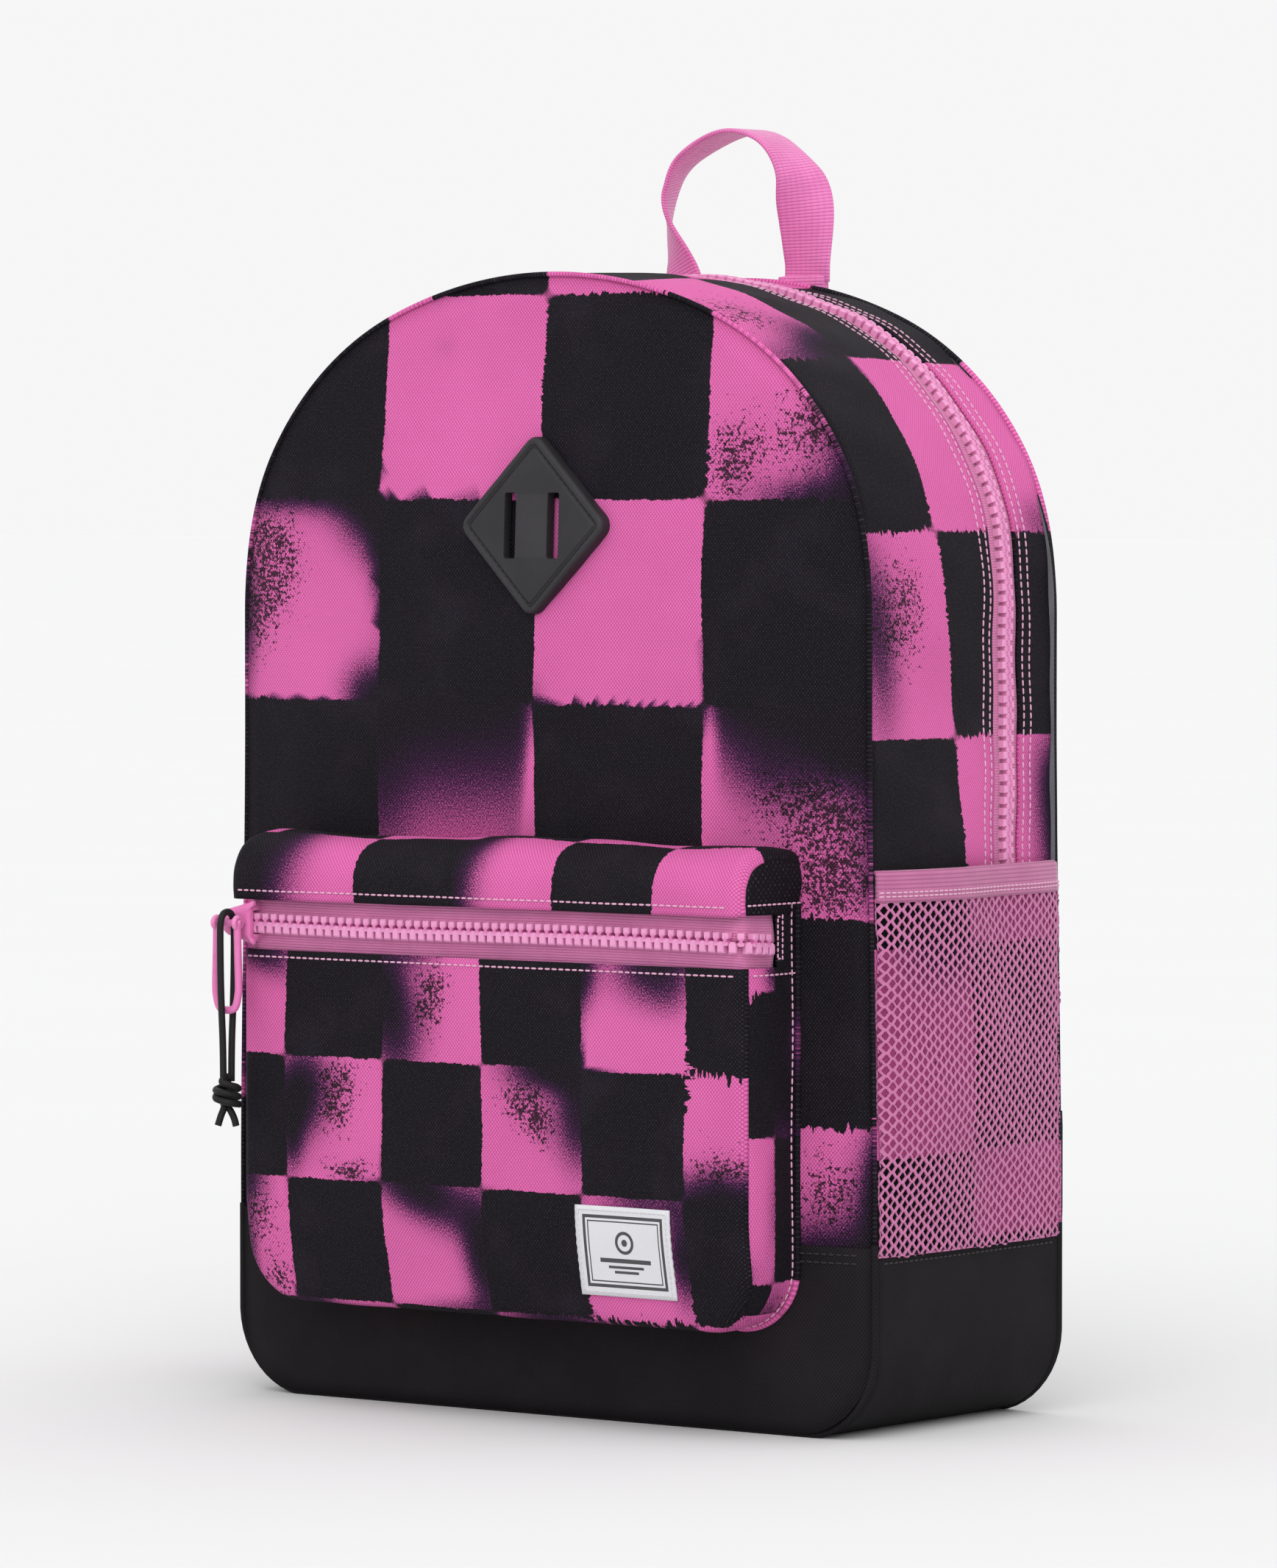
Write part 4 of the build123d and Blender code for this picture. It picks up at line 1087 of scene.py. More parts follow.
def pocket_edge(t):
    """Point and outward direction on the pocket's outline, t from the middle of its bottom."""
    side = 1.0 if t >= 0 else -1.0
    a = abs(t)
    if a <= POCKET_FLAT:
        x, z, nx, nz = a, POCKET_FLOOR, 0.0, -1.0
    elif a <= POCKET_TURN:
        turn = (a - POCKET_FLAT) / POCKET_R
        x = POCKET_FLAT + POCKET_R * math.sin(turn)
        z = POCKET_FLOOR + POCKET_R * (1 - math.cos(turn))
        nx, nz = math.sin(turn), -math.cos(turn)
    else:
        x, z, nx, nz = POCKET_HALF, POCKET_FLOOR + POCKET_R + a - POCKET_TURN, 1.0, 0.0
    return side * x, z, side * nx, nz


def pocket_face(x, z):
    """y of the pocket's front, rounded into its seams and leaning back at its foot."""
    low = POCKET_FLOOR + POCKET_R
    if z < low and abs(x) > POCKET_FLAT:
        inside = POCKET_R - math.hypot(abs(x) - POCKET_FLAT, z - low)
    else:
        inside = min(POCKET_HALF - abs(x), z - POCKET_FLOOR)
    inside = max(inside, 0.0)
    roll = 4.0
    back = roll - math.sqrt(roll ** 2 - max(roll - inside, 0.0) ** 2)
    puff = 2.2 * (1 - math.exp(-inside / 16.0))
    ripple = 0.5 * math.sin(x * 0.045 + z * 0.06 + 0.8) + 0.35 * math.sin(x * 0.09 - z * 0.05)
    lean = 5.0 * ease(z, 82, 36)
    return POCKET_FRONT + 1.8 - puff + back + lean + ripple * ease(inside, 1, 20)


def pocket_wall(t, w, lift=0.0):
    """Point on the pocket's gusset: w from 0 at the front seam to 1 at the bag."""
    x, z, nx, nz = pocket_edge(t)
    front = pocket_face(x, z) - 0.6
    rear = front_depth(x, z) + 0.8
    out = lift - 0.9 * math.exp(-w * 14) + 0.8 * math.sin(math.pi * w) + 0.3 * math.sin(t * 0.08 + w * 4)
    return (x + nx * out, front + (rear - front) * w, z + nz * out)


def gusset_cloth(t, w, p):
    return p[1] + 78, (t - POCKET_TURN + 4) * SMALL / 52


def make_pocket():
    foot = POCKET_FLOOR + np.array([0, 0.6, 1.4, 2.4, 3.6, 5.2])
    rows = np.concatenate([foot, spread(POCKET_FLOOR + 8, MOUTH_LOW, 2.8)])
    low = POCKET_FLOOR + POCKET_R

    def front_place(z, a):
        half = POCKET_HALF if z >= low else POCKET_FLAT + math.sqrt(max(POCKET_R ** 2 - (low - z) ** 2, 0.0))
        return (a * half, pocket_face(a * half, z), z)

    front = surface("pocket_front", front_place, rows, crowd(1.0, 84), PRINTED_SMALL,
                    lambda z, a, p: (p[0] + 0.8, (p[2] - 131.5) * SMALL / 45.2), POCKET_STROKES, (0, 0, 120))
    finish_piece(front, ["pocket_front_panel"])

    depths = spread(0, 1, 1 / 13)
    half_turn = (POCKET_FLAT + POCKET_TURN) / 2
    mouth = POCKET_TURN + MOUTH_LOW - low
    top = POCKET_TURN + MOUTH_HIGH + 3 - low
    for side, sign in SIDES:
        for name, runs, shares, nodes in (
                ("pocket_gusset_", spread(half_turn, mouth, 2.6), depths, ["pocket_side_" + side]),
                ("pocket_gusset_upper_", spread(mouth - 1, top, 2.0), spread(0.56, 1, 0.06), [])):
            wall = surface(name + side, lambda t, w: pocket_wall(sign * t, w), runs, shares, PRINTED_SMALL,
                           gusset_cloth, GUSSET_STROKES, (0, -80, 120))
            finish_piece(wall, nodes)
    floor = surface("pocket_gusset_floor", pocket_wall, spread(-half_turn, half_turn, 2.6), depths,
                    PRINTED_SMALL, lambda t, w, p: (t + 0.8, -2 * SMALL - (p[1] - POCKET_FRONT)),
                    POCKET_STROKES, (0, -80, 120))
    finish_piece(floor, ["pocket_bottom"])

    places = []
    flat = []
    for t in spread(-top, top, 3.0):
        x, z, nx, nz = pocket_edge(t)
        p = (x + nx * 0.6, front_depth(x, z) - 0.6, z + nz * 0.6)
        places.append(p)
        on_side = abs(t) > half_turn
        flat.append((16.0, gusset_cloth(abs(t), 1, p)[1]) if on_side else (t + 0.8, -2.6 * SMALL))
    welt = tube("pocket_welt", places, 1.3, PRINT_SMALL, flat=flat, cell=SMALL, strokes=GUSSET_STROKES)
    finish_piece(welt)

    hem = MOUTH_LOW - 2.6
    transforms = stitch_line([((x, pocket_face(x, hem) - 0.15, hem), (0, -1, 0))
                              for x in spread(-POCKET_HALF + 3, POCKET_HALF - 3, 3)])
    for sign in (-1, 1):
        pairs = []
        for t in spread(0, top, 3):
            x, z, nx, nz = pocket_edge(sign * t)
            w = 1 - 4.4 / (front_depth(x, z) - pocket_face(x, z))
            pairs.append((pocket_wall(sign * t, w, 0.15), (nx, 0, nz)))
        transforms += stitch_line(pairs)
        t = sign * (mouth - 2.6)
        transforms += stitch_line([(pocket_wall(t, w, 0.25), (sign, 0, 0)) for w in spread(0.08, 0.95, 0.09)])
        transforms += stitch_line([((sign * (POCKET_HALF + 1.7), y, MOUTH_HIGH + 2.6), (sign, 0, 0))
                                   for y in spread(-96, -64, 3)])
    transforms += stitch_line([(hood_place(x, 3.4, 0.2), (0, -1, 0.1))
                               for x in spread(-POCKET_HALF + 4, POCKET_HALF - 4, 3)])
    finish_piece(stamp("pocket_stitches", STITCH, transforms, (THREAD_PINK,)))


# From the stitched edge over the pocket's mouth up and back to the bag.
HOOD_PROFILE = smooth_path([(0, -99.8, 188.6), (0, -100.2, 194), (0, -99.2, 201), (0, -94.6, 208.2),
                            (0, -87, 212), (0, -77, 213.2), (0, -68, 212.4), (0, -60.5, 210.8)], 41)


def hood_point(q):
    """Place and outward direction on the hood's profile, q millimetres up from its stitched edge."""
    left = q
    for a, b in zip(HOOD_PROFILE, HOOD_PROFILE[1:]):
        step = (b - a).length
        if left <= step or b is HOOD_PROFILE[-1]:
            along = (b - a).normalized()
            return a.lerp(b, min(left / step, 1.0)), Vector((0, -along.z, along.y))
        left -= step


def hood_place(x, q, lift=0.0):
    """Point on the hood. Its ends are rounded into the pocket's sides."""
    p, out = hood_point(q)
    end = 5.0
    near = max(end - (POCKET_HALF + 0.4 - abs(x)), 0.0)
    inset = end - math.sqrt(max(end ** 2 - near ** 2, 0.0))
    wave = 0.8 * math.sin(x * 0.047 + 1.0) * ease(q, 6, 26) + 0.3 * math.sin(x * 0.13 + q * 0.2)
    p = p + out * (lift + wave * (1 - near / end) - inset)
    towards_left = ease(-x, 40, POCKET_HALF)
    return (x - 2.6 * towards_left, p.y - 1.2 * towards_left, p.z)


def make_hood():
    reach = sum((b - a).length for a, b in zip(HOOD_PROFILE, HOOD_PROFILE[1:]))
    half = POCKET_HALF + 0.4
    rows = spread(0, reach, 1.6)
    cap = surface("pocket_hood_cap", hood_place, crowd(half, 110, 2.2), rows, PRINTED_SMALL,
                  lambda x, q, p: ((x + 59) * SMALL / 45.6, q + 13), HOOD_STROKES, (0, -70, 195), 1.2)
    finish_piece(cap, ["pocket_hood"])
    for side, sign in SIDES:
        corner = Vector((sign * half, -60.0, 188.6))

        def end_place(r, q):
            p = Vector(hood_place(sign * half, q)).lerp(corner, r)
            return (p.x + sign * math.sin(math.pi * min(r * 1.4, 1)), p.y, p.z)

        end = surface("pocket_hood_end_" + side, end_place, spread(0, 1, 0.1), rows, PRINTED_SMALL,
                      lambda r, q, p: (23 + (p[1] + 80) * 0.5, 23 + (p[2] - 200) * 0.6), {},
                      (0, -70, 195), 1.0)
        finish_piece(end)


def zip_path(d, out=0.0):
    """Place, direction along and outward direction on the pocket zip, d from the bag's middle.

    The zip runs across the front, then round each corner and onto the pocket's sides.
    """
    radius = 5.0
    side = 1.0 if d >= 0 else -1.0
    a = abs(d)
    flat = POCKET_HALF - 0.8 - radius
    depth = POCKET_FRONT + 2.4 + radius
    turn = min(max((a - flat) / radius, 0.0), math.pi / 2)
    beyond = max(a - flat - radius * math.pi / 2, 0.0)
    x = min(a, flat) + (radius + out) * math.sin(turn)
    y = depth - (radius + out) * math.cos(turn) + beyond
    along = Vector((math.cos(turn), side * math.sin(turn), 0))
    return (side * x, y), along, Vector((side * math.sin(turn), -math.cos(turn), 0))


def make_pocket_zip():
    middle = (MOUTH_LOW + MOUTH_HIGH) / 2 - 0.4
    left = -POCKET_HALF + 2
    right = POCKET_HALF + 14.5

    def sway(d):
        """How far the zip strays from level."""
        return 0.3 * math.sin(d * 0.035) - 1.0 * ease(d, 108, right)

    round_corner = spread(106, right + 3, 1.0)
    along = np.concatenate([-round_corner[::-1], spread(-105, 105, 3), round_corner])
    for name, low, high, meet in (("lower", MOUTH_LOW - 6, middle - 0.6, 0.7),
                                  ("upper", middle + 0.6, MOUTH_HIGH + 4, -0.7)):
        def tape_place(d, z):
            (x, y), _, _ = zip_path(d, -0.12 * abs(z - middle))
            return (x, y, z + sway(d) + meet * ease(-d, 107, 116))

        tape = surface("pocket_tape_cloth_" + name, tape_place, along, spread(low, high, 1.0), (TAPE,),
                       lambda d, z, p: (d, z), {}, (0, 0, 150), 0.7)
        finish_piece(tape, ["pocket_tape_" + name])
    pitch = 4.0
    for name, sign, shape in (("upper", 1, round_tooth(pitch)), ("lower", -1, block_tooth(pitch))):
        transforms = []
        shift = 0.0 if sign > 0 else 0.5
        for i in range(int((right - 3 - left) / pitch)):
            d = left + 3 + (i + shift) * pitch
            (x, y), along, out = zip_path(d, 1.5)
            transforms.append(basis((x, y, middle + sign * 0.85 + sway(d)), along * -sign, out))
        teeth = stamp("pocket_zip_teeth_" + name, shape, transforms, (TEETH,), smooth=False)
        finish_piece(teeth, ["pocket_teeth_" + name])
    transforms = []
    for sign in (-1, 1):
        box = box_line(-76.4, MOUTH_LOW + 3, -73.6, MOUTH_HIGH - 2)
        transforms += stitch_line([((sign * (POCKET_HALF + 1.0), y, z), (sign, 0, 0)) for y, z in box], 2.1)
    stitches = stamp("zip_end_stitches", stitch_shape(1.6, 0.35), transforms, (THREAD_PINK,))
    finish_piece(stitches, ["pocket_zip_ends"])


def make_label():
    middle = centre_mm("label")
    half = ((LABEL_HIGH[0] - LABEL_LOW[0]) / 2, (LABEL_HIGH[2] - LABEL_LOW[2]) / 2)

    def place(x, z, lift=0.9):
        frayed = 0.15 * math.sin(z * 2.1) if abs(abs(x) - half[0]) < 0.1 else 0.0
        return (middle[0] + x + frayed, pocket_face(middle[0] + x, middle[2] + z) - lift, middle[2] + z)

    label = surface("woven_label", place, spread(-half[0], half[0], 1.6), spread(-half[1], half[1], 1.6),
                    (LABEL,), lambda x, z, p: (x, z), {}, (0, 0, 100), 0.7)
    finish_piece(label, ["label"])
    a, b = half[0] - 1.5, half[1] - 1.5
    corners = [(-a, -b), (a, -b), (a, b), (-a, b), (-a, -b)]
    pairs = [(place(x0 + (x1 - x0) * k / 12, z0 + (z1 - z0) * k / 12, 1.05), (0, -1, 0))
             for (x0, z0), (x1, z1) in zip(corners, corners[1:]) for k in range(12)]
    stitches = stitch_line(pairs + pairs[:1], 2.0)
    finish_piece(stamp("label_stitches", stitch_shape(1.5, 0.3, 0.25), stitches, (THREAD_WHITE,)))


# ---- pull, cord and knot ------------------------------------------------------------------------
# The cord's NURBS points, from the knot up through the pull and back down.
CORD_ROUTE = [
    (-113.8, -109.7, 121.0), (-113.8, -109.7, 133.0), (-113.4, -111.4, 152.0), (-113.7, -111.5, 171.5),
    (-113.5, -111.6, 184.0), (-113.5, -103.8, 184.0), (-113.3, -103.9, 171.5), (-113.6, -104.0, 152.0),
    (-113.2, -105.7, 133.0), (-113.2, -105.7, 121.0),
]
CORD_D = 2.6
# The knot and one of its tails, and the other strand with the second tail, sideways from the cord.
KNOT_TURNS = [
    (-0.2, 0.0, 123.0), (1.0, -4.2, 121.0), (4.4, 0.2, 119.0), (0.6, 4.4, 117.8), (-4.4, 1.0, 116.6),
    (-2.0, -4.2, 114.8), (3.2, -3.0, 113.4), (4.2, 2.0, 112.6), (-0.6, 3.8, 113.2), (-2.6, 0.4, 116.0),
    (-1.0, -0.6, 112.0), (-1.9, -1.6, 108.0), (-2.6, -2.4, 104.6),
]
TAIL_TURNS = [
    (0.6, 0.4, 123.0), (-2.8, 2.6, 119.6), (-3.6, -2.4, 117.8), (1.6, -4.0, 117.0), (4.2, 1.2, 115.6),
    (0.2, 3.4, 115.0), (-3.2, 1.4, 113.0), (0.4, 0.8, 110.6), (2.0, 1.4, 107.4), (2.6, 1.9, 104.4),
]


def slider_body(body, place, turn, channel):
    """Zip slider: two wing-shaped plates, narrow at the nose and flared at the heel, on side walls.

    channel is the two heights, outwards from the slider's middle, between which the teeth run.
    """
    low, high = channel
    half = [(-8.6, -3.4), (-6.5, -4.9), (-2.0, -6.0), (4.2, -7.6), (6.0, -8.2), (6.0, -6.4), (4.8, -5.4)]
    outline = half + [(x, -z) for x, z in half[::-1]]
    wall = [(-6.2, 4.4), (4.7, 4.4), (4.7, 5.2), (4.1, 7.3), (-2.0, 5.8), (-6.2, 4.85)]
    shells = [(outline, ((high, 0.97), (high + 0.4, 1.0), (3.4, 0.98), (4.0, 0.88), (4.5, 0.6))),
              (outline, ((low - 1.1, 0.92), (low - 0.7, 1.0), (low, 0.97))),
              (wall, ((low - 0.2, 1.0), (high + 0.2, 1.0))),
              ([(x, -z) for x, z in wall], ((low - 0.2, 1.0), (high + 0.2, 1.0)))]
    points = []
    faces = []
    for shape, levels in shells:
        first = len(points)
        for y, shrink in levels:
            points += [(x * shrink, -y, z * shrink) for x, z in shape]
        faces += [tuple(first + k for k in face) for face in prism_faces(len(levels), len(shape))]
    moved = [tuple(Vector(place) + turn @ Vector(p)) for p in points]
    obj = outward(piece(body + "_body", moved, faces, (SLIDER,)))
    bevel = obj.modifiers.new("round", "BEVEL")
    bevel.width = 0.45 * MM
    bevel.segments = 2
    bevel.limit_method = "ANGLE"
    bake_modifiers(obj)
    finish_piece(obj, [body], body)


def pull_hardware(name, pin, across, out, wall, bottom):
    """The bar on a slider with its two ears, and the U-shaped frame that hangs from it.

    across is along the bar, out is away from the bag, and wall is where the ears leave the slider.
    """
    depth = pin.dot(out) - abs(wall)

    def part(kind, places, radius, body, sides, closed=False, nodes=()):
        rod = tube(name + kind, places, radius, SLIDER, sides, closed)
        finish_piece(rod, nodes, name + body)

    part("_slider_bar", [pin + across * w for w in (-6.3, -6.1, -5.6, 5.6, 6.1, 6.3)], 1.25, "_slider", 16)
    for side, w in (("first", -2.9), ("second", 2.9)):
        stem = [pin + across * w - out * depth * share for share in (1.0, 0.5, 0.0)]
        part("_slider_ear_" + side, stem, 1.5, "_slider", 14)
    foot = bottom - pin.z
    half = [(5.0, 0.0), (5.0, -4.0), (5.2, -12.0), (5.5, -22.0), (5.3, foot + 7.5), (4.1, foot + 3.2),
            (2.0, foot + 1.7)]
    outline = [(-w, h) for w, h in half] + half[::-1]
    line = smooth_path([pin + across * w + Vector((0, 0, h)) for w, h in outline], 80)
    part("_pull_frame", line, 1.45, "_pull", 14, nodes=[name + "_pull"])
    turns = [k * math.pi / 12 for k in range(24)]
    up = Vector((0, 0, 1))
    for side, w in (("first", -5.0), ("second", 5.0)):
        ring = [pin + across * w + (out * math.cos(turn) + up * math.sin(turn)) * 1.9 for turn in turns]
        part("_pull_eye_" + side, ring, 1.1, "_pull", 10, True)


def make_pulls():
    pin = anchor_mm("pocket_pull_swing")
    place = (pin.x + 1.2, POCKET_FRONT + 0.8, centre_mm("pocket_slider")[2])
    slider_body("pocket_slider", place, Matrix.Identity(3), (-3.2, 1.7))
    pull_hardware("pocket", pin, Vector((1, 0, 0)), Vector((0, -1, 0)), POCKET_FRONT - 2.6,
                  box_mm("pocket_pull")[0][2])

    curve = bpy.data.curves.new("pull_cord_black", "CURVE")
    curve.dimensions = "3D"
    spline = curve.splines.new("NURBS")
    spline.points.add(len(CORD_ROUTE) - 1)
    for point, place in zip(spline.points, CORD_ROUTE):
        point.co = (*(v * MM for v in place), 1)
    spline.order_u = 3
    spline.use_endpoint_u = True
    curve.resolution_u = 12
    curve.bevel_depth = CORD_D / 2 * MM
    curve.bevel_resolution = 4
    curve.use_fill_caps = True
    cord = new_object("pull_cord_black", curve, CORD)
    finish_piece(cord, ["pull_cord"], "pocket_pull")
    for name, turns, count, nodes in (("pull_knot", KNOT_TURNS, 110, ["pull_cord_knot"]),
                                      ("pull_knot_tail", TAIL_TURNS, 90, [])):
        line = [(p.x - 113.5, p.y - 107.7, p.z) for p in smooth_path(turns, count)]
        part = tube(name, line, CORD_D / 2, CORD, 10)
        finish_piece(part, nodes, "pocket_pull")

    pin = anchor_mm("main_pull_swing")
    turn = Matrix(((0.0, 1.0, 0.0), (0.0, 0.0, 1.0), (1.0, 0.0, 0.0)))
    slider_body("main_slider", (-148.9, pin.y, pin.z), turn, (-4.0, 0.3))
    pull_hardware("main", pin, Vector((0, 1, 0)), Vector((-1, 0, 0)), -151.6, box_mm("main_pull")[0][2])


# ---- rubber patch on the flap -------------------------------------------------------------------
def polar(angle, reach):
    return Vector((math.cos(angle), math.sin(angle))) * reach


def diamond(inset):
    """Outline of a rounded diamond, at a distance inside the patch's edge."""
    radius = 5.0
    core = (PATCH_HIGH[0] - PATCH_LOW[0]) / 2 - radius
    if inset >= radius - 0.6:
        core -= (inset - radius + 0.6) * math.sqrt(2)
    round_r = max(radius - inset, 0.6)
    points = []
    for k in range(4):
        turn = k * math.pi / 2
        points += [polar(turn, core) + polar(turn + (j - 3) * math.pi / 12, round_r) for j in range(7)]
        start = points[-1]
        stop = polar(turn + math.pi / 2, core) + polar(turn + math.pi / 4, round_r)
        points += [start.lerp(stop, j / 7) for j in range(1, 7)]
    return points


def slot_outline(x):
    """Rounded slot in the patch, around a distance from its middle."""
    wide, high, radius = 2.8, 12.2, 1.0
    points = []
    for k, (sx, sz) in enumerate(((1, 1), (-1, 1), (-1, -1), (1, -1))):
        for j in range(4):
            angle = k * math.pi / 2 + j * math.pi / 6
            points.append((x + sx * (wide - radius) + radius * math.cos(angle),
                           sz * (high - radius) + radius * math.sin(angle)))
    return points


def make_patch():
    centre_x, _, centre_z = centre_mm("lash_patch")

    def lifted(x, z, height):
        """Place on the patch, which takes most of the front's curve."""
        flat = front_depth(centre_x, centre_z)
        curve = front_depth(centre_x + x, centre_z + z)
        return (centre_x + x, flat + (curve - flat) * 0.8 - height, centre_z + z)

    # Inset and height: the rounded edge, the groove of the stitches and the flat middle.
    levels = ((0.0, -0.8), (0.0, 2.6), (0.2, 3.4), (0.7, 4.2), (1.4, 4.6), (2.5, 4.6), (2.8, 4.1), (3.2, 3.8),
              (3.7, 3.8), (4.1, 4.1), (4.4, 4.5), (4.8, 4.55))
    rings = [diamond(inset) for inset, _ in levels]
    points = [lifted(p[0], p[1], height) for ring, (_, height) in zip(rings, levels) for p in ring]
    faces = grid_faces(len(levels), len(rings[0]), True)
    obj = piece("lash_patch_rubber", points, faces, (RUBBER,))

    def fill(edit):
        edit.verts.ensure_lookup_table()
        count = len(rings[0])
        inner = [edit.verts[(len(levels) - 1) * count + i] for i in range(count)]
        loops = [inner]
        for x in (-9.9, 9.9):
            outline = slot_outline(x)
            walls = [[edit.verts.new(Vector(lifted(x + (a - x) * wide, b * tall, height)) * MM)
                      for a, b in outline]
                     for wide, tall, height in ((1.0, 1.0, 4.5), (0.93, 0.985, 4.1), (0.93, 0.985, 0.2))]
            for upper, under in zip(walls, walls[1:]):
                for i in range(len(outline)):
                    j = (i + 1) % len(outline)
                    edit.faces.new((upper[i], upper[j], under[j], under[i]))
            loops.append(walls[0])
        edges = []
        for loop in loops:
            for i, vertex in enumerate(loop):
                pair = (vertex, loop[(i + 1) % len(loop)])
                edges.append(edit.edges.get(pair) or edit.edges.new(pair))
        bmesh.ops.triangle_fill(edit, use_beauty=True, use_dissolve=False, edges=edges)
        bmesh.ops.recalc_face_normals(edit, faces=edit.faces)
        for face in edit.faces:
            face.smooth = len(face.verts) == 4

    rebuild(obj, fill)
    finish_piece(obj, ["lash_patch"], body="front_flap")
    loop = diamond(3.45)
    stitches = stitch_line([(lifted(p[0], p[1], 3.85), (0, -1, 0)) for p in loop + loop[:1]], 2.7)
    finish_piece(stamp("lash_patch_stitches", stitch_shape(2.0, 0.4, 0.35), stitches, (THREAD_BLACK,)),
                 body="front_flap")


# ---- side pockets -------------------------------------------------------------------------------
def net_lift(y, z):
    """How far the side pocket stands off the bag's wall."""
    t = min(max((y - NET_LOW[1]) / (REAR - NET_LOW[1]), 0), 1)
    bow = math.sin(math.pi * t ** 0.85) ** 0.6 if 0 < t < 1 else 0.0
    full = 0.25 + 0.75 * ease(z, NET_LOW[2], NET_LOW[2] + 60)
    return 1.0 + 6.2 * bow * full + 0.5 * math.sin(y * 0.11 + z * 0.05) * bow


def make_side_pockets():
    wide, high = 5.2, 4.08    # pitch of the net's meshes
    flat, tip = 0.0957 * wide, 0.4043 * wide
    hexagon = [(flat, high / 2), (-flat, high / 2), (-tip, 0.0), (-flat, -high / 2), (flat, -high / 2),
               (tip, 0.0)]
    top = ELASTIC_LOW[2] + 2
    bottom = NET_LOW[2] - 2
    front, rear = SEAM_Y + 0.5, REAR - 1
    for side, sign in SIDES:
        def place(y, z):
            """Point of the net, kept within its four edges."""
            y = min(max(y, front), rear)
            z = min(max(z, bottom), top)
            return skin(sign * run_at(z), y, net_lift(y, z))

        points = []
        faces = []
        for j in range(int((top - bottom) / high * 2) + 2):
            for i in range(int((rear - front) / wide) + 2):
                cy = front + (i + 0.5 * (j % 2)) * wide
                cz = bottom + j * high / 2
                jitter_y = 0.22 * math.sin(i * 2.3 + j * 1.7)
                jitter_z = 0.18 * math.sin(i * 1.9 - j * 2.9)
                base = len(points)
                points += [place(cy + y, cz + z) for y, z in hexagon]
                points += [place(cy + jitter_y + y * 0.75, cz + jitter_z + z * 0.75) for y, z in hexagon]
                faces += [(base + k, base + (k + 1) % 6, base + 6 + (k + 1) % 6, base + 6 + k)
                          for k in range(6)]
        net = piece("side_net_" + side, points, faces, (NET,))
        weld(net, 0.12)
        face_away(net, (0, 0, 130))
        thicken(net, 0.75)
        finish_piece(net, ["side_pocket_net_" + side])

        low, tall = ELASTIC_LOW[2], ELASTIC_HIGH[2]

        def band_place(z, y):
            rounded = 1.2 * ease(z, tall - 1.2, tall) + 0.5 * ease(z, low + 1.0, low)
            return skin(sign * run_at(z), y, net_lift(y, z) + 0.8 - rounded)

        band = surface("elastic_band_" + side, band_place, spread(low, tall, 0.8),
                       spread(front - 0.6, rear + 0.6, 2.5), (ELASTIC,), lambda z, y, p: (y, z), {},
                       (0, 0, 198), 1.8)
        finish_piece(band, ["side_pocket_elastic_" + side])
        transforms = []
        for level in (low + 2.2, low + 3.6):
            run = sign * run_at(level)
            transforms += stitch_line([(skin(run, y, net_lift(y, level) + 0.95), (sign, 0, 0))
                                       for y in spread(front, rear, 3)], 2.6)
        finish_piece(stamp("elastic_stitches_" + side, STITCH, transforms, (THREAD_PINK,)))


# ---- handle -------------------------------------------------------------------------------------
def make_handle():
    """Loop of webbing that twists on its way up from each foot, and its two sewn ends."""
    foot_low, foot_high = box_mm("handle_webbing")
    y = centre_mm("handle_webbing")[1]
    foot = foot_low[2] - 3
    top = foot_high[2]
    route = [(-27, foot), (-30, foot + 10), (-34.5, foot + 24), (-33, foot + 37), (-24, top - 10),
             (-4, top - 1.4), (13, top - 4), (25.5, top - 16), (29.5, top - 30), (30.5, foot + 10),
             (30.5, foot)]
    middle = smooth_path([(x, y, z) for x, z in route], 120)
    across = []
    for t in np.linspace(0, 1, len(middle)).tolist():
        near = 2 * min(t, 1 - t)
        if t < 0.5:
            angle = -math.radians(16 + 52 * ease(near, 0.0, 0.6) + 22 * ease(near, 0.6, 1.0))
        else:
            angle = math.radians(-4 + 94 * ease(near, 0.12, 0.78))
        wide = Vector((math.cos(angle), math.sin(angle), 0.0))
        if across and wide.dot(across[-1]) < 0:
            wide = -wide
        across.append(wide)
    band = ribbon("handle_band", middle, across, 21.5, 1.9, WEBBING)
    finish_piece(band, ["handle_webbing"], "handle",
                 ((0, y * MM, (foot + 2) * MM), (0, y * MM, (foot + 16) * MM)))
    low, high = box_mm("handle_anchor")
    transforms = []
    for side, sign in SIDES:
        x = sign * 29.0
        patch = soft_block("handle_patch_" + side, (x - 10.6, REAR + 0.3, low[2]),
                           (x + 10.6, high[1] + 0.6, high[2] + 0.4), 0.9, WEBBING)
        finish_piece(patch, ["handle_anchor"] if sign > 0 else ())
        a, b = x - 8.2, x + 8.2
        c, d = low[2] + 2.2, high[2] - 4
        # A box with a cross in it, in two runs.
        for line in (((a, c), (b, c), (b, d), (a, d), (a, c), (b, d)), ((a, d), (b, c))):
            transforms += stitch_line([((p[0], high[1] + 0.7, p[1]), (0, 1, 0)) for p in line], 2.4)
    finish_piece(stamp("handle_stitches", stitch_shape(1.8), transforms, (THREAD_PINK,)))


# ---- back and shoulder straps -------------------------------------------------------------------
def pad_height(x, z, edge_distance):
    """Height of the quilted back pad: a crowned edge, a channel up the spine and three across."""
    crown = 1 - math.exp(-max(edge_distance, 0) / 5.0)
    spine = 1 - 0.75 * math.exp(-(x / 9.0) ** 4)
    across = 1.0
    for level in (118, 206, 294):
        across *= 1 - 0.7 * math.exp(-((z - level - abs(x) * 0.12) / 4.5) ** 2)
    return 7.0 * crown * spine * across


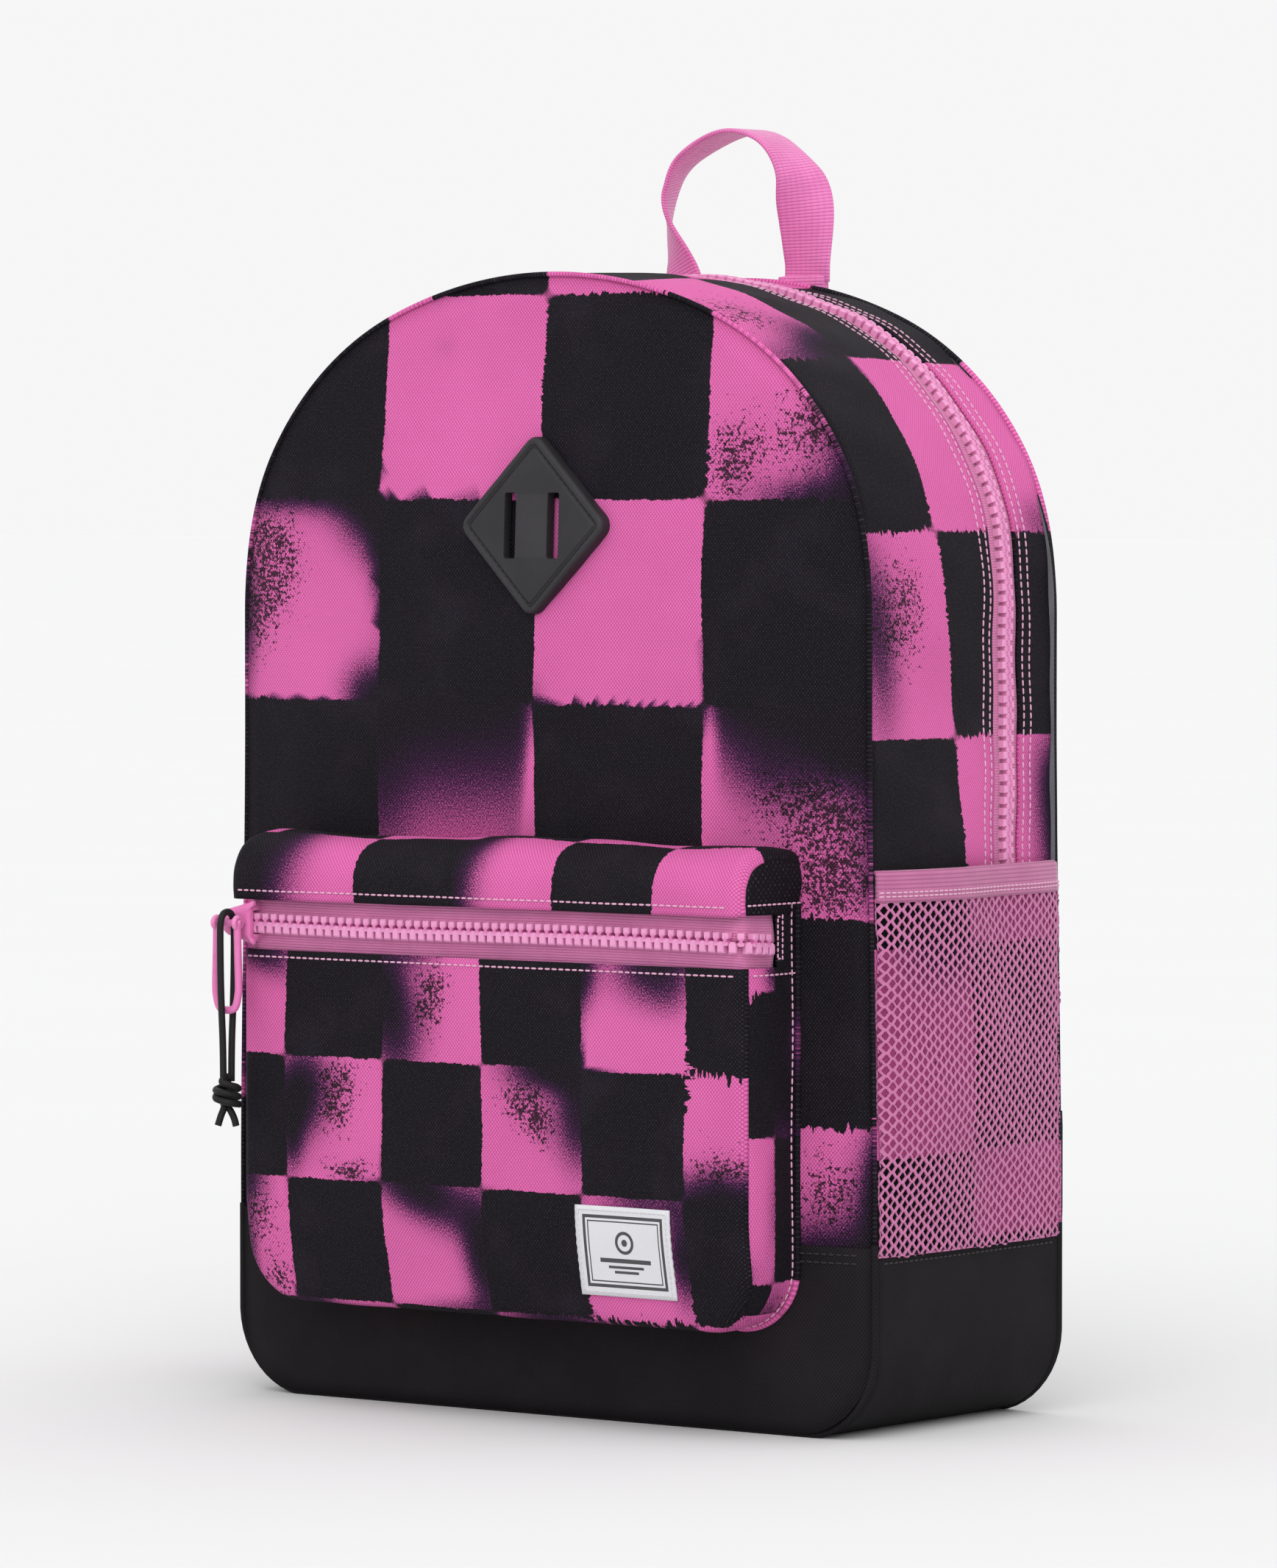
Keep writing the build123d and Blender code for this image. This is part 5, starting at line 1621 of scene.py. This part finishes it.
def make_back():
    columns = 240
    points = [(x, REAR - 0.2 + 0.5 * math.sin(x * 0.05) * math.sin(z * 0.04), z)
              for x, z, _ in outline_rings(0.8, 14, columns)]
    panel = piece("back_cloth", points, grid_faces(15, columns, True), PLAIN, [(x, z) for x, _, z in points])
    weld(panel, 0.2)
    face_away(panel, (0, 0, 200))
    thicken(panel, 1.6, True)
    finish_piece(panel, ["back_panel"])

    low, high = box_mm("back_pad")
    inset = HALF - high[0]
    points = []
    for x, z, _ in outline_rings(inset, 40, columns):
        inside = min(HALF - inset - abs(x), z - inset)
        if z > SHOULDER_Z and abs(x) > SHOULDER_X:
            inside = min(inside, SHOULDER_R - inset - math.hypot(abs(x) - SHOULDER_X, z - SHOULDER_Z))
        if z > TOP_Z:
            inside = min(inside, TOP_R - inset - math.hypot(x, z - TOP_Z))
        wrinkle = 0.25 * math.sin(x * 0.2 + z * 0.07) * math.sin(z * 0.13)
        height = (pad_height(x, z, inside) + wrinkle) * (high[1] - low[1] - 0.6) / 7.0
        points.append((x, low[1] + 0.5 + height, z))
    pad = piece("back_padding", points, grid_faces(41, columns, True), (AIR_MESH,))
    weld(pad, 0.2)
    face_away(pad, (0, 0, 200))
    thicken(pad, 0.8)
    finish_piece(pad, ["back_pad"])
    rim = []
    for i in range(320):
        s = (i / 320 * 2 - 1) * RUN_ALL
        x, z, nx, nz = edge(s)
        rim.append((x - nx * inset, low[1] + 1.0, z - nz * inset))
    finish_piece(tube("back_pad_binding", rim, 1.5, BLACK_CLOTH, 8, True))


def strap_line(sign):
    """Middle of a shoulder strap's pad, from the yoke down to its buckle."""
    route = ((41, 71.5, 366), (43, 76.0, 335), (49, 82.6, 295), (57, 84.6, 258), (67, 82.0, 215),
             (78, 76.5, 180), (83, 74.0, 164))
    return smooth_path([(sign * x, y, z) for x, y, z in route], 60)


def inflate(obj, voxel, cap):
    """Swells a closed pad by cloth simulation under pressure. No point moves further than the cap."""
    remesh = obj.modifiers.new("remesh", "REMESH")
    remesh.mode = "VOXEL"
    remesh.voxel_size = voxel * MM
    bake_modifiers(obj)
    rest = np.array([v.co[:] for v in obj.data.vertices])
    cloth = obj.modifiers.new("cloth", "CLOTH")
    cloth.settings.use_pressure = True
    cloth.settings.uniform_pressure_force = 4.0
    cloth.settings.effector_weights.gravity = 0.0
    cloth.settings.quality = 4
    scene = bpy.context.scene
    for number in range(1, 21):
        scene.frame_set(number)
    swollen = obj.evaluated_get(bpy.context.evaluated_depsgraph_get()).to_mesh()
    moved = np.array([v.co[:] for v in swollen.vertices]) - rest
    obj.modifiers.clear()
    scene.frame_set(1)
    far = np.linalg.norm(moved, axis=1, keepdims=True)
    moved *= np.minimum(1.0, cap * MM / np.maximum(far, 1e-9))
    obj.data.vertices.foreach_set("co", (rest + moved).ravel())
    obj.data.update()
    smooth = obj.modifiers.new("smooth", "SMOOTH")
    smooth.factor = 0.5
    smooth.iterations = 2
    finer = obj.modifiers.new("finer", "SUBSURF")
    finer.levels = 1
    bake_modifiers(obj)
    obj.data.polygons.foreach_set("use_smooth", [True] * len(obj.data.polygons))


def lay_over(pad, line, wide):
    """The line lifted, along +Y, until a 20 mm webbing along it lies on the pad."""
    gap = 1.1
    corners = [v.co / MM for v in pad.data.vertices]
    tree = BVHTree.FromPolygons(corners, [tuple(face.vertices) for face in pad.data.polygons])
    lifts = []
    for here in line:
        lift = 0.0
        for share in (-9.0, -4.5, 0.0, 4.5, 9.0):
            place = here + wide * share
            hit = tree.ray_cast(Vector((place.x, 200.0, place.z)), Vector((0, -1, 0)))[0]
            if hit is not None:
                lift = max(lift, hit.y + gap - place.y)
        lifts.append(lift)
    raised = [max(lifts[max(i - 3, 0):i + 4]) for i in range(len(lifts))]
    around = [raised[max(i - 2, 0):i + 3] for i in range(len(raised))]
    return [here + Vector((0, sum(near) / len(near), 0)) for here, near in zip(line, around)]


def make_pad(side, sign, body):
    """A shoulder strap's swollen pad, with its bound edge."""
    bend = ((sign * 0.055, 0.070, 0.362), (sign * 0.060, 0.075, 0.318))
    line = strap_line(sign)
    count = len(line)
    sides = 28
    points = []
    edges = {-1: [], 1: []}
    for i, here in enumerate(line):
        t = i / (count - 1)
        along = (line[min(i + 1, count - 1)] - line[max(i - 1, 0)]).normalized()
        wide = along.cross(Vector((0, 1, 0))).normalized()
        out = wide.cross(along)
        half = (24.5 - 3.5 * ease(t, 0.55, 1.0)) * (1 - 0.32 * ease(t, 0.93, 1.0) ** 2)
        thick = 4.1 * (1 - 0.65 * ease(t, 0.94, 1.0)) * (1 - 0.5 * ease(t, 0.08, 0.0))
        for k in range(sides):
            angle = 2 * math.pi * k / sides
            c, s = math.cos(angle), math.sin(angle)
            a = math.copysign(abs(c) ** 0.55, c) * half
            b = math.copysign(abs(s) ** 0.75, s) * thick
            points.append(tuple(here + wide * a + out * b))
        for edge_side in (-1, 1):
            edges[edge_side].append(here + wide * (edge_side * (half + 0.3)))
    pad = outward(piece("strap_padding_" + side, points, prism_faces(count, sides), (STRAP_CLOTH,)))
    inflate(pad, 3.0, 1.2)
    finish_piece(pad, ["strap_pad_" + side], body, bend)
    binding = tube("strap_binding_" + side, edges[1] + edges[-1][::-1], 1.5, BLACK_CLOTH, 8, True)
    finish_piece(binding, body=body, bend=bend)
    return pad


def make_straps():
    for side, sign in SIDES:
        body = "strap_" + side
        pad = make_pad(side, sign, body)
        lock = Vector(centre_mm("ladder_lock_" + side))
        start = lock + Vector((sign * 3, 0, -4))
        stop = Vector((sign * 134, 64.5, 97))
        wide = (stop - start).cross(Vector((0, 1, 0))).normalized()
        hang = smooth_path([start, start.lerp(stop, 0.3) + Vector((0, 1.5, -1)),
                            start.lerp(stop, 0.65) + Vector((0, 0.8, -1)), stop], 48)
        web = ribbon("strap_web_" + side, hang, [wide] * 48, 20.0, 1.8, STRAP_WEB)
        finish_piece(web, ["strap_webbing_" + side], body)
        fold = smooth_path([lock + Vector((-sign * 2, 1.5, 4)), (sign * 86, 80, 176), (sign * 76, 83.6, 196),
                            (sign * 70, 86.8, 212)], 30)
        keeper = ribbon("strap_keeper_" + side, lay_over(pad, fold, wide), [wide] * 30, 20.0, 1.6, STRAP_WEB)
        finish_piece(keeper, body=body)
        low, high = box_mm("strap_tab_" + side)
        tab = soft_block("strap_tab_cloth_" + side, (low[0], REAR + 0.6, low[2]), high, 1.0, BOOT)
        finish_piece(tab, ["strap_tab_" + side])
    low, high = box_mm("strap_yoke")
    finish_piece(soft_block("strap_yoke_cloth", low, high, 1.2, BOOT), ["strap_yoke"])
    box = box_line(low[2] + 3, low[0] + 3, high[2] - 3, high[0] - 3)
    stitches = stitch_line([((x, high[1] + 0.1, z), (0, 1, 0)) for z, x in box])
    finish_piece(stamp("yoke_stitches", STITCH, stitches, (THREAD_BLACK,)))


# ---- inside -------------------------------------------------------------------------------------
def make_inside():
    low, high = box_mm("sleeve_panel")

    def sleeve_place(x, z):
        sag = 2.0 * math.sin(math.pi * (z - low[2]) / (high[2] - low[2])) * math.cos(x / high[0] * 1.4)
        return (x, low[1] + 0.6 - sag, z)

    sleeve = surface("sleeve_cloth", sleeve_place, spread(low[0] + 1, high[0] - 1, 6),
                     spread(low[2], high[2] + 2, 6), (LINING,), lambda x, z, p: (x, z), {}, (0, 60, 150), 1.0)
    finish_piece(sleeve, ["sleeve_panel"])
    low, high = box_mm("sleeve_binding")
    _, depth, height = centre_mm("sleeve_binding")
    rim = [Vector((x, depth + 0.3 * math.sin(x * 0.05), height)) for x in spread(low[0] + 1, high[0] - 1, 5)]
    tape = ribbon("sleeve_binding_tape", rim, [(0, 0, 1)] * len(rim), 8.0, 2.6, BLACK_CLOTH)
    finish_piece(tape, ["sleeve_binding"])


def dress_cad():
    """Materials on the CAD nodes that stay."""
    for name, material in (("base_board", BOARD), ("ladder_lock_left", BUCKLE),
                           ("ladder_lock_right", BUCKLE)):
        mesh = frame["nodes"][name].data
        mesh.materials.clear()
        mesh.materials.append(material)


# ---- camera and light ---------------------------------------------------------------------------
def make_camera():
    """The photo's view, from a fit of the bag's seams. target is where the middle of the picture looks."""
    azimuth = math.radians(37.0)
    elevation = math.radians(2.0)
    distance = 3.0128
    to_the_left = 0.00274
    target = Vector((-to_the_left * math.cos(azimuth), -to_the_left * math.sin(azimuth), 0.2309))
    back = Vector((math.sin(azimuth) * math.cos(elevation), -math.cos(azimuth) * math.cos(elevation),
                   math.sin(elevation)))
    data = bpy.data.cameras.new("camera")
    data.sensor_width = 36.0
    data.lens = 185.4
    camera = new_object("camera", data)
    camera.location = target + back * distance
    camera.rotation_euler = back.to_track_quat("Z", "Y").to_euler()
    bpy.context.scene.camera = camera


def make_lamp():
    """A weak large lamp ahead on the right, for the shadow."""
    data = bpy.data.lights.new("key", "AREA")
    data.shape = "RECTANGLE"
    data.size, data.size_y = 1.4, 1.4
    data.energy = 3
    lamp = new_object("key", data)
    lamp.location = (2.3, -2.0, 2.2)
    lamp.rotation_euler = Vector((2.3, -2.0, 1.98)).to_track_quat("Z", "Y").to_euler()


def make_studio():
    """Even pale surroundings, with a soft bright patch ahead on the right and another overhead."""
    world = bpy.data.worlds.new("studio")
    world.use_nodes = True
    tree = world.node_tree
    direction = tree.nodes.new("ShaderNodeTexCoord").outputs["Generated"]
    total = None
    for aim, wide, power in (((0.45, -0.70, 0.555), 0.80, 1.7), ((0.1, 0.1, 0.99), 0.70, 0.6)):
        towards = tree.nodes.new("ShaderNodeVectorMath")
        towards.operation = "DOT_PRODUCT"
        tree.links.new(direction, towards.inputs[0])
        towards.inputs[1].default_value = aim
        patch = tree.nodes.new("ShaderNodeMapRange")
        patch.interpolation_type = "SMOOTHSTEP"
        tree.links.new(towards.outputs["Value"], patch.inputs[0])
        for socket, value in ((1, wide), (2, 0.98), (3, 0.0), (4, power)):
            patch.inputs[socket].default_value = value
        joined = tree.nodes.new("ShaderNodeMath")
        tree.links.new(patch.outputs[0], joined.inputs[0])
        if total:
            tree.links.new(total, joined.inputs[1])
        else:
            joined.inputs[1].default_value = 0.922
        total = joined.outputs[0]
    background = tree.nodes["Background"]
    background.inputs[0].default_value = (1.0, 1.0, 1.0, 1)
    tree.links.new(total, background.inputs[1])
    bpy.context.scene.world = world
    bpy.context.scene.view_settings.view_transform = "Standard"
    floor_mesh = bpy.data.meshes.new("floor")
    reach = 60.0
    corners = [(-reach, -reach, 0), (reach, -reach, 0), (reach, reach, 0), (-reach, reach, 0)]
    floor_mesh.from_pydata(corners, [], [(0, 1, 2, 3)])
    m = Nodes("floor_pale")
    tone = m.mix(m.noise(m.position(), 3.0, 2.0), rgb(222, 222, 222), rgb(220, 220, 221))
    floor = new_object("floor", floor_mesh, m.finish(tone, 0.95, Specular_IOR_Level=0.0))
    make_lamp()


make_camera()
make_studio()
make_front()
make_walls()
make_seams()
make_wall_stitches()
make_main_zip()
make_pocket()
make_hood()
make_pocket_zip()
make_label()
make_pulls()
make_patch()
make_side_pockets()
make_handle()
make_back()
make_straps()
make_inside()
dress_cad()
